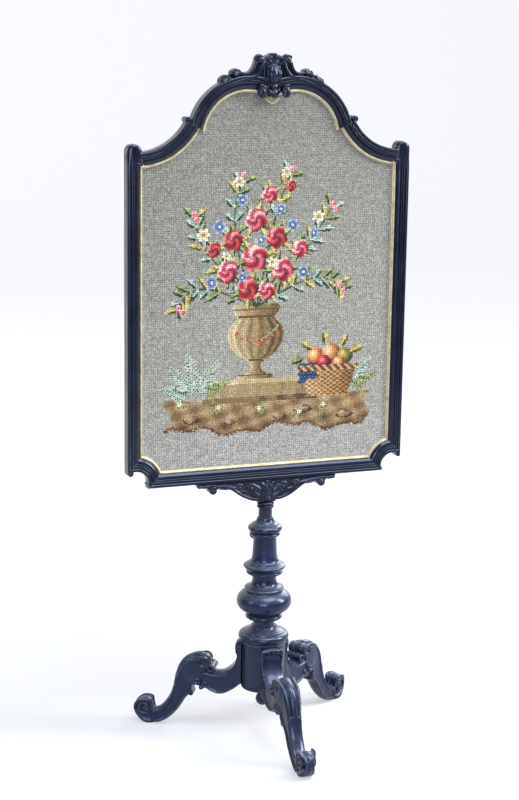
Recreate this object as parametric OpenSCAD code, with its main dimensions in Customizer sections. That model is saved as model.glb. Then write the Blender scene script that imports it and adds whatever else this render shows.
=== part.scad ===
// A tripod fire screen in ebonised wood. A moulded frame holds a stretched needlework,
// and stands by a rod that slides in a turned column on three carved scroll legs.

/* [Panel] */
// Width of the frame over its two stiles
panel_w = 548; // [530:2:566]
// Height of the bottom rail's lower edge above the floor
rail_z = 508.5; // [500:0.5:515]
// Height of the hollow shoulders beside the stiles' rounded tops
shoulder_z = 1125.5; // [1000:0.5:1200]
// Width of every moulded frame member, seen from the front
member_w = 24.5; // [24:0.1:25]
// Thickness of the frame from front to back
member_t = 25; // [24.6:0.1:26]
// Width of the gilt slip that shows inside the frame
slip_w = 7.5; // [5:0.5:9]
// Outer radius of the hollow sweep that rises from each stile
sweep_r = 104.5; // [103:0.5:106]
// Outer radius of the arches that meet under the crest
arch_r = 112.5; // [111.5:0.5:113.5]
// Radius of the hollow quarter round cut from each lower corner
corner_r = 25; // [24:0.5:26]

/* [Needlework] */
// Thickness of the stretched needlework
work_t = 0.8; // [0.5:0.1:0.8]
// Width of the bars of the stretcher behind it
stretcher_w = 20; // [16:1:26]
// Thickness of the backboard
backboard_t = 2.2; // [1.8:0.1:2.4]

/* [Column] */
// Radius of the sliding rod
rod_r = 13; // [11:0.5:13]
// Length of the rod below its collar
rod_len = 279; // [255:1:283]
// Radius of the drum that takes the legs
hub_r = 42.75; // [42:0.25:44]
// Radius of the widest bulb
bulb_r = 53; // [50:1:58]
// Radius of the torus on top of the column
cap_r = 32.75; // [31:0.25:36]
// Gap between rod and bore, measured on the radius
slide_gap = 0.05; // [0.03:0.01:0.08]

/* [Legs] */
// Distance from the column's axis to the tip of each foot
leg_reach = 256; // [250:1:262]
// Half the leg's width where it meets the drum
leg_root_half = 22; // [20:0.5:24]
// Half the leg's width across the foot scroll
foot_half = 15.5; // [14:0.5:18]

/* [Fastenings] */
// Radius of the dowels that hold the legs
leg_dowel_r = 5; // [3:0.5:5]
// Radius of the dowels in the frame
frame_dowel_r = 2.5; // [1.5:0.5:2.5]
// Radius of the clamp screw
clamp_r = 4; // [3:0.25:4.25]

/* [Hidden] */
$fn = 64;

black = "#20222b";
gilt = "#c9b97f";
wool = "#98968c";
deal = "#b98f5c";
brass = "#b08d3a";
steel = "#8c8f94";

// The column's axis stands behind the middle of the footprint
rear_reach = leg_reach * sin(30) + 17 * cos(30);
axis_y = (leg_reach - rear_reach) / 2;

// The panel is laid out flat: x across, y up the panel, z towards the viewer
half_w = panel_w / 2;
face_f = member_t / 2;
back_f = -member_t / 2;
lip_f = 3.4;
lip_u = member_w - 7;
sweep_c = [half_w - 20, shoulder_z + sweep_r];

// Arches widen with the panel, and keep their place beside the sweeps
arch_size = arch_r + (half_w - 274) / 2;
sweep_from_arch = [208, 82.5] / norm([208, 82.5]);
arch_c = sweep_c - (sweep_r + arch_size + 6.764) * sweep_from_arch;

corner_c = [half_w - 15.5, rail_z + 8.5];
kink_a = sweep_c - [115, 64];
kink_b = sweep_c - [93, 52];
ear_c = [half_w - member_w / 2, shoulder_z + 14 - member_w / 2];
lobe_r = 5.5;
lobe_c = [half_w - lobe_r, corner_c.y + corner_r - 1];
toe_c = [corner_c.x - corner_r - 3, rail_z + 5.2];
knob_c = sweep_c - sweep_r * [0.8852, 0.4641];

// Layers behind the front, from the slip back to the brads
slip_back_f = 0.6;
work_f = slip_back_f - 0.1;
stretcher_f = work_f - work_t - 0.1;
stretcher_t = 7.8;
backboard_f = stretcher_f - stretcher_t - 0.1;
brad_r = 0.6;
brad_f = backboard_f - backboard_t - brad_r - 0.05;

// Heights up the column
hub_z = 92;
neck_z = hub_z + 125;
drum_z = neck_z + 105;
cap_z = drum_z + 76;
cap_top = cap_z + 34;
collar_z = cap_top + 19;
apron_z = collar_z + 13;
bore_z = collar_z - rod_len - 22;
clamp_z = cap_z - 13;
drop_z = hub_z - 25.6;
pin_top = rail_z - 6.5;
spigot_r = 17;
pin_r = 7;

function arc(c, r, a0, a1, n = 10) =
    [for (i = [0:n]) let (a = a0 + (a1 - a0) * i / n) c + r * [cos(a), sin(a)]];

function oval(c, rx, ry, a0, a1, n = 10) =
    [for (i = [0:n]) let (a = a0 + (a1 - a0) * i / n) c + [rx * cos(a), ry * sin(a)]];

// A smooth curve through the given points
function knot(p, i) = p[max(0, min(len(p) - 1, i))];
function smooth(p, n = 4) = concat(
    [for (i = [0:len(p) - 2], k = [0:n - 1])
        let (t = k / n, a = knot(p, i - 1), b = p[i], c = p[i + 1], d = knot(p, i + 2))
        (2 * b + t * (c - a) + t * t * (2 * a - 5 * b + 4 * c - d)
            + t * t * t * (3 * b - a - 3 * c + d)) / 2],
    [p[len(p) - 1]]);

function mirrored(p) = [for (i = [len(p) - 1:-1:0]) [-p[i].x, p[i].y]];
function angle_of(c, p) = atan2(p.y - c.y, p.x - c.x);

// Where a circle crosses an upright line, a level line, and a slanting line
function on_x(c, r, x, side) = [x, c.y + side * sqrt(r * r - (x - c.x) ^ 2)];
function on_y(c, r, y, side) = [c.x + side * sqrt(r * r - (y - c.y) ^ 2), y];
function on_line(c, r, p, q, side) =
    let (d = (q - p) / norm(q - p), f = p - c, b = f * d)
    p + (side * sqrt(b * b - f * f + r * r) - b) * d;

// The corners of the panel's outline at a depth u inside the frame's outer edge
function rail_end(u) = on_y(corner_c, corner_r + u, rail_z + u, -1);
function stile_foot(u) = on_x(corner_c, corner_r + u, half_w - u, 1);
function stile_head(u) = on_x(sweep_c, sweep_r + u, half_w - u, -1);
function sweep_end(u) = on_line(sweep_c, sweep_r + u, kink_a, kink_b, -1);
function arch_foot(u) = on_line(arch_c, arch_size - u, kink_a, kink_b, 1);
function arch_top(u) = arch_size - u > arch_c.x ? on_x(arch_c, arch_size - u, 0, 1) : arch_c + [0, arch_size - u];

function half_outline(u) = concat(
    arc(corner_c, corner_r + u, angle_of(corner_c, rail_end(u)), angle_of(corner_c, stile_foot(u)), 10),
    arc(sweep_c, sweep_r + u, angle_of(sweep_c, stile_head(u)), angle_of(sweep_c, sweep_end(u)), 14),
    arc(arch_c, arch_size - u, angle_of(arch_c, arch_foot(u)), angle_of(arch_c, arch_top(u)), 20));
function outline(u) = concat(half_outline(u), mirrored(half_outline(u)));

// The frame's moulding: three reeds that step down to the slip, from the outer edge inwards
reeds = concat(
    oval([3.8, face_f - 4.3], 3.8, 4.3, 180, 20, 8),
    [[8.2, face_f - 3.3]],
    oval([11.3, face_f - 3.2], 2.9, 2.4, 165, 15, 6),
    [[15, face_f - 4.7]],
    oval([18.6, face_f - 4.9], 3.1, 2.5, 170, 10, 6),
    [[member_w - 2.3, face_f - 5.9], [member_w, face_f - 6.1]]);
solid_section = concat([[0, back_f]], reeds, [[member_w, back_f]]);
rebated_section = concat([[0, back_f]], reeds, [[member_w, lip_f], [lip_u, lip_f], [lip_u, back_f]]);
slip_u = member_w + slip_w;
slip_u0 = lip_u + 0.4;
slip_section = concat(
    [[slip_u0, slip_back_f], [slip_u0, lip_f - 0.2], [member_w + 0.2, lip_f - 0.2]],
    oval([member_w + 1.7, 4.6], 1.5, 1.4, 180, 0, 8),
    [[member_w + 3.5, 4.2], [slip_u, 2.4], [slip_u, slip_back_f]]);

// Moving pieces from the flat layout to where they stand
module upright() translate([0, axis_y, 0]) rotate([90, 0, 0]) children();
module on_axis() translate([0, axis_y, 0]) children();
module both() {
    children();
    mirror([1, 0, 0]) children();
}

// All that lies to the left of the line from p to q
module beyond(p, q) {
    translate([p.x, p.y, -60])
        rotate([0, 0, angle_of(p, q)])
            translate([-3000, 0, 0])
                cube([6000, 1200, 120]);
}

module bar_up(section, z0, z1) {
    translate([half_w, z1, 0])
        rotate([90, 0, 0])
            mirror([1, 0, 0])
                linear_extrude(z1 - z0) polygon(section);
}

module ring(c, section, r, inward, a0, a1) {
    translate([c.x, c.y, 0])
        rotate([0, 0, a0])
            rotate_extrude(angle = a1 - a0, $fn = 128)
                polygon([for (p = section) [r + (inward ? -p.x : p.x), p.y]]);
}

module slab(points, f0, f1) translate([0, 0, f0]) linear_extrude(f1 - f0) polygon(points);
module peg(c, r, f0, f1) translate([c.x, c.y, f0]) cylinder(r = r, h = f1 - f0);

// A pointed leaf, laid flat with its stem at the start
module leaf(p, angle, length, width, f0, f1) {
    r = (length * length + width * width) / (4 * width);
    translate([p.x, p.y, f0]) rotate([0, 0, angle]) translate([length / 2, 0, 0]) intersection() {
        translate([0, r - width / 2, 0]) cylinder(r = r, h = f1 - f0);
        translate([0, width / 2 - r, 0]) cylinder(r = r, h = f1 - f0);
    }
}

// A flat spiral ridge that closes on its eye
module scroll(c, r_out, r_eye, turns, width, start, hand, f0, f1) {
    n = round(r_out * 1.2) + 10;
    spiral = [for (i = [0:n]) let (a = start + hand * 360 * turns * i / n,
        r = r_out + (r_eye - r_out) * i / n) [r, a]];
    slab(concat([for (s = spiral) c + s[0] * [cos(s[1]), sin(s[1])]],
        [for (i = [n:-1:0]) c + (spiral[i][0] - width) * [cos(spiral[i][1]), sin(spiral[i][1])]]), f0, f1);
    peg(c, r_eye, f0, f1);
}

// Turned work
module turned(profile) on_axis() rotate_extrude($fn = 96) polygon(profile);

module hub_block() {
    color(black) difference() {
        turned(concat(
            [[0, hub_z], [hub_r - 2.5, hub_z]],
            arc([hub_r - 3, hub_z + 3], 3, -60, 0, 4),
            [[hub_r, hub_z + 92], [hub_r + 1, hub_z + 92.5], [hub_r + 1, hub_z + 96.5]],
            oval([hub_r - 2.75, neck_z - 20], 8.5, 8, -70, 80, 12),
            [[hub_r - 1, neck_z - 10.5], [38, neck_z - 5.5], [30, neck_z - 2], [24.5, neck_z - 0.8],
                [24, neck_z], [spigot_r, neck_z],
                [spigot_r, neck_z + 10], [rod_r + slide_gap, neck_z + 10], [rod_r + slide_gap, bore_z],
                [0, bore_z]]));
        on_axis() translate([0, 0, hub_z - 1]) cylinder(r = 8.05, h = 21.2);
        leg_dowel_set(leg_dowel_r + 0.05, 28.2);
    }
}

module hub_drop() {
    color(black) turned(concat(
        arc([0, drop_z], 13.5, -90, 58, 14),
        oval([9, hub_z - 8.5], 3.4, 2.2, -80, 80, 6),
        [[9.5, hub_z - 5.6], [12.5, hub_z - 3.5], [13.5, hub_z - 0.1],
            [8, hub_z - 0.1], [8, hub_z + 20], [0, hub_z + 20]]));
}

module bulb_section() {
    color(black) turned(concat(
        [[spigot_r + 0.05, neck_z], [21.5, neck_z], [21, neck_z + 6], [21.6, neck_z + 11.5]],
        oval([28.5, neck_z + 19.5], 6.5, 6.2, -110, 110, 12),
        [[31, neck_z + 26.2], [37, neck_z + 28.5]],
        oval([bulb_r - 27, neck_z + 50], 27, 22.5, -62, 66, 20),
        [[37, neck_z + 73.2], [37.8, neck_z + 75], [37.8, neck_z + 78], [32, neck_z + 80.5],
            [26.5, drum_z - 21], [23.6, drum_z - 17], [22.8, drum_z - 12], [22.8, drum_z - 1.5],
            [24, drum_z], [spigot_r, drum_z], [spigot_r, drum_z + 10],
            [rod_r + slide_gap, drum_z + 10], [rod_r + slide_gap, neck_z + 10.2],
            [spigot_r + 0.05, neck_z + 10.2]]));
}

module drum_section() {
    color(black) difference() {
        turned(concat(
            [[spigot_r + 0.05, drum_z], [33.5, drum_z]],
            arc([32.5, drum_z + 3], 2.8, -60, 60, 6),
            [[34, drum_z + 7], [39.6, drum_z + 11.5]],
            arc([38, drum_z + 15], 2.4, -60, 70, 6),
            [[35, drum_z + 19], [30, drum_z + 23.5], [26, drum_z + 26.5], [24.2, drum_z + 31],
                [23.4, drum_z + 40], [21.6, cap_z],
                [spigot_r, cap_z], [spigot_r, cap_z + 8], [rod_r + slide_gap, cap_z + 8],
                [rod_r + slide_gap, drum_z + 10.2], [spigot_r + 0.05, drum_z + 10.2]]));
        on_axis() translate([0, 0, clamp_z]) rotate([-90, 0, 0]) {
            translate([0, 0, 15]) cylinder(r = bush_r + 0.05, h = 20);
            translate([0, 0, 10]) cylinder(r = clamp_r + 0.3, h = 10);
        }
    }
}

module column_cap() {
    color(black) turned(concat(
        [[spigot_r + 0.05, cap_z], [28, cap_z]],
        arc([26.8, cap_z + 3.2], 2.8, -50, 60, 6),
        oval([cap_r - 9, cap_z + 14.3], 9, 7.8, -62, 66, 14),
        [[27.5, cap_z + 22], [26, cap_z + 23.2], [21, cap_top - 9.5], [17.6, cap_top - 6.5],
            [16, cap_top - 3], [15.6, cap_top],
            [rod_r + slide_gap, cap_top], [rod_r + slide_gap, cap_z + 8.2],
            [spigot_r + 0.05, cap_z + 8.2]]));
}

// The carved scroll leg, as a side outline cut to a plan outline, drawn for a reach of 256
function stretched(p) = [for (q = p) [far(q.x), q.y]];
function far(x) = x + (leg_reach - 256) * max(0, min(1, (x - 125) / 95));
leg_top = stretched(smooth([[40, 183], [47, 183.4], [53, 181.5], [52, 175.5], [47.6, 171], [46.3, 163],
    [48, 154], [51.5, 145], [57, 136.5], [64, 129], [72, 122.5], [80, 119], [88, 118], [93.5, 120.5],
    [94.5, 126], [98.5, 130.3], [103.5, 129.5], [106.2, 133.5], [109, 140.5], [114, 146.2],
    [121, 149.2], [130, 148.6], [140, 146], [150, 140.5], [158, 132.5], [164.6, 122], [168.8, 111],
    [171.6, 101], [174.8, 89], [178.8, 75], [183, 63.5], [190.5, 50.5], [199, 39.5], [206.5, 33.3],
    [212.5, 31.6], [217.5, 33.4], [218.6, 41], [220.5, 47.4], [225, 51.2], [231.5, 53.2],
    [240, 51.6], [248, 47], [254, 39], [256, 29], [253.7, 17.5], [247, 8], [238, 2], [230, 0]], 3));
leg_under = stretched(smooth([[212, 0], [203, 2.2], [191, 8], [180.5, 16.5], [170.5, 27],
    [162.3, 38.5], [155.5, 50], [151, 57.5], [146.5, 61.8], [140.5, 66.2], [136.4, 72], [135.4, 78],
    [137.5, 83.5], [134.5, 87.5], [129.5, 88], [124.6, 85.2], [121.6, 80.6], [117.4, 79],
    [111.5, 81.4], [103, 76.6], [93, 72.8], [84, 71.6], [75, 73.4], [65.5, 78], [56, 84], [49, 89.5],
    [40, 97]], 3));
foot_c = [far(231.5), 36];
knee_c = [115.5, 136.6];
leg_plan = stretched(smooth([[38, leg_root_half + 0.5], [48, leg_root_half], [64, 19.8], [90, 18.4],
    [120, 18.6], [136, 18], [152, 16.2], [171, 13.6], [190, 12.4], [206, 12.6], [220, foot_half - 1.2],
    [230, foot_half], [240, foot_half - 1.7], [248, foot_half - 4.7], [253, foot_half - 7.2],
    [257, foot_half - 9.5]], 3));

module leg(angle) {
    difference() {
        on_axis() rotate([0, 0, angle]) {
            intersection() {
                rotate([90, 0, 0]) slab(concat(leg_top, leg_under), -30, 30);
                linear_extrude(200) polygon(concat(leg_plan, [for (i = [len(leg_plan) - 1:-1:0])
                    [leg_plan[i].x, -leg_plan[i].y]]));
            }
            rotate([90, 0, 0]) {
                for (side = [0, 1]) mirror([0, 0, side]) {
                    scroll(foot_c, 13.5, 3.8, 1.4, 2.6, -120, 1, foot_half - 7, foot_half + 1.4);
                    peg(foot_c, 12.5, 0, foot_half + 0.4);
                    scroll(knee_c, 11, 3.2, 1.2, 2.6, 150, 1, 17, 20.4);
                    peg([99.5, 124.5], 5.8, 0, 19.4);
                }
            }
        }
        on_axis() translate([0, 0, hub_z - 20]) cylinder(r = hub_r + 0.05, h = 140, $fn = 96);
        leg_dowel_set(leg_dowel_r + 0.05, 28.2);
    }
}

module leg_front() color(black) leg(-90);
module leg_right() color(black) leg(30);
module leg_left() color(black) leg(150);

module leg_dowel_set(r, length) {
    on_axis() for (angle = [-90, 30, 150], z = [104, 130])
        rotate([0, 0, angle]) translate([28, 0, z]) rotate([0, 90, 0]) cylinder(r = r, h = length);
}

module leg_dowels() color(deal) leg_dowel_set(leg_dowel_r, 28);

// The clamp at the back of the drum
bush_r = clamp_r + 2.5;
grip_y = 44;

module clamp_bush() {
    color(brass) on_axis() difference() {
        union() {
            translate([0, 15.2, clamp_z]) rotate([-90, 0, 0]) cylinder(r = bush_r, h = 8.3);
            translate([0, 23.3, clamp_z]) rotate([-90, 0, 0]) cylinder(r = bush_r + 1.4, h = 1.2);
        }
        translate([0, 13, clamp_z]) rotate([-90, 0, 0]) cylinder(r = clamp_r + slide_gap, h = 14);
    }
}

module clamp_screw() {
    color(brass) on_axis() translate([0, 0, clamp_z]) rotate([-90, 0, 0]) {
        translate([0, 0, 13.35]) cylinder(r1 = clamp_r - 0.8, r2 = clamp_r, h = 1.2);
        translate([0, 0, 14.5]) cylinder(r = clamp_r, h = grip_y - 1.5);
    }
}

module clamp_knob() {
    color(black) on_axis() translate([0, 0, clamp_z]) rotate([-90, 0, 0]) difference() {
        rotate_extrude() polygon(concat(
            [[0, grip_y], [6, grip_y]],
            oval([5.2, grip_y + 2], 1.8, 1.6, -60, 60, 5),
            oval([3, grip_y + 10.2], 6, 6.2, -66, 90, 14),
            [[0, grip_y + 16.4]]));
        translate([0, 0, grip_y - 1]) cylinder(r = clamp_r + slide_gap, h = 14.2);
    }
}

module rod() {
    color(black) turned([[0, collar_z - rod_len], [rod_r - 1, collar_z - rod_len],
        [rod_r, collar_z - rod_len + 1], [rod_r, collar_z], [pin_r, collar_z],
        [pin_r, pin_top], [0, pin_top]]);
}

module rod_collar() {
    color(black) turned(concat(
        [[pin_r + 0.02, collar_z + 0.1], [13.6, collar_z + 0.1]],
        oval([12.8, collar_z + 3.3], 3.7, 3.1, -70, 70, 8),
        oval([12.8, collar_z + 9.3], 3.7, 3.1, -70, 70, 8),
        [[13.6, apron_z - 0.4], [pin_r + 0.02, apron_z - 0.4]]));
}

// The carved bracket under the bottom rail
drop_k = (rail_z - 0.1 - apron_z) / 44.4;
function hung(x, d) = [x, rail_z - 0.1 - d * drop_k];
apron_edge = smooth([hung(139.5, 0), hung(138.6, 5.4), hung(132.5, 8.8), hung(124, 9.8), hung(118.6, 11.8),
    hung(115.2, 17.4), hung(109, 20.4), hung(102.8, 17.6), hung(100.4, 12), hung(95, 9.8), hung(86, 10.4),
    hung(76, 13), hung(66, 18.6), hung(56, 26), hung(46, 32.4), hung(36, 37), hung(27, 39.8),
    hung(18.5, 41), hung(17, 44.4)], 4);

module apron() {
    color(black) difference() {
        upright() {
            slab(concat(apron_edge, mirrored(apron_edge)), -10.5, 10.5);
            both() {
                apron_rim();
                peg(hung(109, 13.2), 6.6, -11.5, 13.5);
                peg(hung(109, 13.2), 3, 13, 14.6);
                leaf(hung(14, 33.4), 22, 44, 11, 10, 13);
                leaf(hung(12, 28.4), 48, 32, 10, 10, 13.4);
                leaf(hung(60, 9.4), -6, 34, 7, 10, 12.6);
                scroll(hung(30, 15.4), 9, 2.6, 1.2, 2.4, 200, -1, 10, 13.2);
                scroll(hung(52, 12.4), 6, 2, 1.1, 2, 20, 1, 10, 12.8);
            }
            leaf(hung(0, 40.4), 90, 40, 15, 10, 14.4);
            leaf(hung(0, 40.4), 90, 36, 5, 14, 15.6);
        }
        on_axis() translate([0, 0, apron_z - 1])
            cylinder(r = pin_r + slide_gap, h = pin_top + 1.5 - apron_z);
        apron_screw_set(2.05, 4, rail_z - 48.5);
    }
}

// A raised edge that follows the bracket's curve
module apron_rim() {
    curve = [for (p = apron_edge) if (p.x < 98 && p.x > 20) p];
    slab(concat(curve, [for (i = [len(curve) - 1:-1:0]) curve[i] + [0, 4.6]]), 10, 13);
}

module apron_screw_set(r_shank, r_head, head_from) {
    on_axis() for (x = [-84, -50, 50, 84]) translate([x, 0, 0]) {
        translate([0, 0, rail_z - 8.5]) cylinder(r = r_shank, h = 22.2);
        translate([0, 0, head_from]) cylinder(r = r_head, h = rail_z - 7.9 - head_from);
    }
}

module apron_screws() color(steel) apron_screw_set(1.98, 3.7, rail_z - 10.3);

// Holes that run from one frame member into the next
module frame_dowel_set(r, length) {
    middle = [for (side = [-1, 1]) each [
        [side, corner_c + (corner_r + 9) * [cos(85), sin(85)], 30],
        [side, corner_c + (corner_r + 9) * [cos(172), sin(172)], 52],
        [side, [half_w - member_w, shoulder_z - 9], 0],
        [side, (kink_a + kink_b) / 2 + [0.5, 0.3], 118.6],
        [side, [22, on_x(arch_c, arch_size, 22, 1).y], 90]]];
    upright() {
        for (m = middle)
            mirror([m[0] < 0 ? 1 : 0, 0, 0]) translate([m[1].x, m[1].y, -3]) rotate([0, 0, m[2]])
                rotate([0, 90, 0]) cylinder(r = r, h = length, center = true);
        translate([0, on_x(arch_c, arch_size - 9, 0, 1).y, -3])
            rotate([0, 90, 0]) cylinder(r = r, h = length, center = true);
    }
}

module frame_dowels() color(deal) frame_dowel_set(frame_dowel_r, 17);

module brad_set(r) {
    upright() both() {
        for (y = [rail_z + 111.5:110:shoulder_z - 60])
            translate([half_w - 24, y, brad_f]) rotate([0, 90, 0]) cylinder(r = r, h = 12, $fn = 16);
        for (x = [40, 120, 190])
            translate([x, rail_z + 24, brad_f]) rotate([90, 0, 0]) cylinder(r = r, h = 12, $fn = 16);
    }
}

module backboard_brads() color(steel) brad_set(brad_r);

module frame_member(hand) {
    color(black) difference() {
        upright() mirror([hand < 0 ? 1 : 0, 0, 0]) children();
        frame_dowel_set(frame_dowel_r + 0.05, 17.4);
        brad_set(brad_r + 0.03);
    }
}

module stile(hand) {
    face = concat(
        arc(ear_c, member_w / 2, 0, 180, 20),
        [stile_foot(member_w), corner_c + [5, corner_r - 0.5]],
        arc(lobe_c, lobe_r, 180, 360, 14));
    rebate_low = stile_foot(lip_u).y;
    rebate_high = stile_head(lip_u).y;
    frame_member(hand) difference() {
        intersection() {
            slab(face, -30, 30);
            bar_up(solid_section, corner_c.y, shoulder_z + 20);
        }
        translate([half_w - member_w - 1, rebate_low, back_f - 1])
            cube([member_w - lip_u + 1, rebate_high - rebate_low, lip_f - back_f + 1]);
    }
}

module stile_left() stile(-1);
module stile_right() stile(1);

module bottom_rail() {
    end = concat([rail_end(member_w), corner_c + corner_r * [cos(182), sin(182)]],
        arc(toe_c, 5.2, 35, -90, 10));
    color(black) difference() {
        frame_member(1) {
            intersection() {
                slab(concat(end, mirrored(end)), -30, 30);
                translate([-half_w, rail_z, 0]) rotate([90, 0, 90])
                    linear_extrude(panel_w) polygon(rebated_section);
            }
        }
        apron_screw_set(2.02, 2, rail_z - 9.5);
    }
}

module corner(hand) {
    frame_member(hand) difference() {
        ring(corner_c, rebated_section, corner_r, false, 70, 190);
        beyond(stile_foot(member_w), corner_c + [5, corner_r - 0.5]);
        beyond(corner_c + corner_r * [cos(182), sin(182)], rail_end(member_w));
    }
}

module corner_left() corner(-1);
module corner_right() corner(1);

// The hollow sweep from the stile up to the kink, with the knob that ends its outer reed
module sweep(hand) {
    frame_member(hand) {
        difference() {
            ring(sweep_c, rebated_section, sweep_r, false, 196, 275);
            beyond([half_w - member_w, 0], [half_w - member_w, -1]);
            beyond(kink_a, kink_b);
        }
        peg(knob_c, 6.5, back_f + 1, face_f - 1);
        peg(knob_c, 3, face_f - 2, face_f + 0.6);
    }
}

module sweep_left() sweep(-1);
module sweep_right() sweep(1);

module arch(hand) {
    frame_member(hand) difference() {
        ring(arch_c, rebated_section, arch_size, true, -8, 140);
        beyond([0, 0], [0, 1]);
        beyond(kink_b, kink_a);
    }
}

module arch_left() arch(-1);
module arch_right() arch(1);

// The carved crest: a shell between scrolls, over a ribbed boss
crest_z = on_x(arch_c, arch_size, 0, 1).y + 49.834;
arm_k = arch_c.x / 46;

// A point of the crest's arm at a height above the arch, drawn for arches centred at 46
function on_arch(x, rise) =
    let (x1 = 34 + (x - 34) * arm_k) [x1, on_x(arch_c, arch_size, x1, 1).y + rise];

module crest_arm() {
    arm = smooth([on_arch(104, -0.9), on_arch(100, 8.8), on_arch(86, 14.4), on_arch(72, 13),
        on_arch(61, 7.5), on_arch(52, 5.7), on_arch(43, 8.5), on_arch(37, 15.4), on_arch(34, 23.6),
        on_arch(33, 30.8), [20, crest_z - 8], [0, crest_z - 6]], 4);
    slab(concat([[0, crest_z - 60], on_arch(104, -14)], arm), -9, 9);
    rim = [for (p = arm) if (p.x > 33.5 && p.x < on_arch(62, 0).x) p];
    slab(concat(rim, [for (i = [len(rim) - 1:-1:0]) rim[i] + [-1.5, -5]]), 8, 12);
    small_roll = on_arch(91.5, -1.4);
    large_roll = on_arch(72.5, 2.7);
    peg(small_roll, 11, -11, 10);
    peg(large_roll, 13, -11, 11);
    scroll(small_roll, 10.5, 3, 1.1, 2.6, 200, -1, 9, 12);
    scroll(large_roll, 12.5, 3.4, 1.1, 2.8, 200, -1, 10, 13);
    peg([27, crest_z - 10.2], 8, -10, 12);
    scroll([27, crest_z - 10.2], 7.8, 2.6, 1.1, 2.2, 0, 1, 11, 14);
    scroll([22.5, crest_z - 73], 8.6, 3, 1.2, 2.4, 60, -1, face_f + 0.1, 20);
    slab(smooth([[6, crest_z - 52], [16, crest_z - 55], [23, crest_z - 63], [31, crest_z - 72],
        [27, crest_z - 81], [18, crest_z - 82], [10, crest_z - 76], [4, crest_z - 66]], 3),
        face_f + 0.1, 17.5);
}

module crest_forms() {
    boss_c = [0, crest_z - 38];
    both() crest_arm();
    slab([[-15, crest_z - 20], [-15, crest_z - 66], [-8, crest_z - 80], [8, crest_z - 80],
        [15, crest_z - 66], [15, crest_z - 20]], 0, 15.5);
    leaf([0, crest_z - 83], 90, 24, 13, 15, 18.6);
    // The shell's ribs fan out from one root
    slab(arc([0, crest_z - 23], 19, 20, 160, 12), -8, 5);
    for (a = [30:20:150])
        translate([0, crest_z - 23, 3]) rotate([0, 0, a]) rotate([0, 90, 0]) rotate_extrude($fn = 24)
            polygon([[0, 0], [2.4, 0], [4.5, 16.5], [4.3, 20], [2.8, 22.4], [0, 23]]);
    // The boss and its upright ribs
    translate([0, boss_c.y, 9]) rotate([-90, 0, 0]) rotate_extrude()
        polygon(oval([0, 0], 12, 15, -90, 90, 12));
    for (x = [-8, -4, 0, 4, 8])
        translate([x - 1.2, boss_c.y, 7]) rotate([0, 90, 0]) cylinder(r = sqrt(225 - x * x), h = 2.4);
}

module crest() {
    color(black) difference() {
        upright() difference() {
            crest_forms();
            both() difference() {
                ring(arch_c, [[-0.1, back_f - 1], [-0.1, face_f + 0.1], [60, face_f + 0.1],
                    [60, back_f - 1]], arch_size, true, 0, 170);
                beyond([0, 0], [0, 1]);
            }
        }
        frame_dowel_set(frame_dowel_r + 0.05, 17.4);
    }
}

// The gilt slip, mitred at each corner of the opening
module slip(hand) color(gilt) upright() mirror([hand < 0 ? 1 : 0, 0, 0]) children();

module slip_rail() {
    quarter = [rail_end(slip_u0), rail_end(slip_u)];
    slip(1) intersection() {
        slab(concat(quarter, mirrored(quarter)), -30, 30);
        translate([-half_w, rail_z, 0]) rotate([90, 0, 90]) linear_extrude(panel_w) polygon(slip_section);
    }
}

module slip_corner(hand) {
    slip(hand) difference() {
        ring(corner_c, slip_section, corner_r, false, 80, 184);
        beyond(stile_foot(slip_u), stile_foot(slip_u0));
        beyond(rail_end(slip_u0), rail_end(slip_u));
    }
}

module slip_corner_left() slip_corner(-1);
module slip_corner_right() slip_corner(1);

module slip_stile(hand) {
    slip(hand) difference() {
        bar_up(slip_section, corner_c.y, shoulder_z);
        beyond(stile_foot(slip_u0), stile_foot(slip_u));
        beyond(stile_head(slip_u), stile_head(slip_u0));
    }
}

module slip_stile_left() slip_stile(-1);
module slip_stile_right() slip_stile(1);

module slip_sweep(hand) {
    slip(hand) difference() {
        ring(sweep_c, slip_section, sweep_r, false, 196, 275);
        beyond(stile_head(slip_u0), stile_head(slip_u));
        beyond(kink_a, kink_b);
    }
}

module slip_sweep_left() slip_sweep(-1);
module slip_sweep_right() slip_sweep(1);

module slip_arch(hand) {
    slip(hand) difference() {
        ring(arch_c, slip_section, arch_size, true, -14, 140);
        beyond([0, 0], [0, 1]);
        beyond(kink_b, kink_a);
    }
}

module slip_arch_left() slip_arch(-1);
module slip_arch_right() slip_arch(1);

// The needlework, its stretcher and its backboard
work_u = lip_u + 1.7;
stretcher_u = work_u + 0.8;

module needlework() {
    color(wool) difference() {
        upright() {
            slab(outline(work_u), work_f - work_t, work_f);
            difference() {
                slab(outline(work_u), work_f - 6, work_f - work_t / 2);
                slab(outline(stretcher_u), work_f - 7, work_f);
            }
        }
        tack_set(0.65, 0.65);
    }
}

module tack_set(r_shank, r_head) {
    edge = half_w - work_u;
    upright() {
        both() for (y = [rail_z + 91.5:80:shoulder_z - 40]) translate([edge, y, -3]) rotate([0, -90, 0]) {
            cylinder(r = r_shank, h = 8, $fn = 16);
            translate([0, 0, -0.7]) cylinder(r = r_head, h = 0.7, $fn = 24);
        }
        for (x = [-180:60:180]) translate([x, rail_z + work_u, -3]) rotate([-90, 0, 0]) {
            cylinder(r = r_shank, h = 8, $fn = 16);
            translate([0, 0, -0.7]) cylinder(r = r_head, h = 0.7, $fn = 24);
        }
    }
}

module canvas_tacks() color(steel) tack_set(0.6, 2.2);

// The stretcher follows the outline, and is halved into four bars and a cross bar
low_joint = rail_z + 70;
high_joint = shoulder_z - 60;

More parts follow.
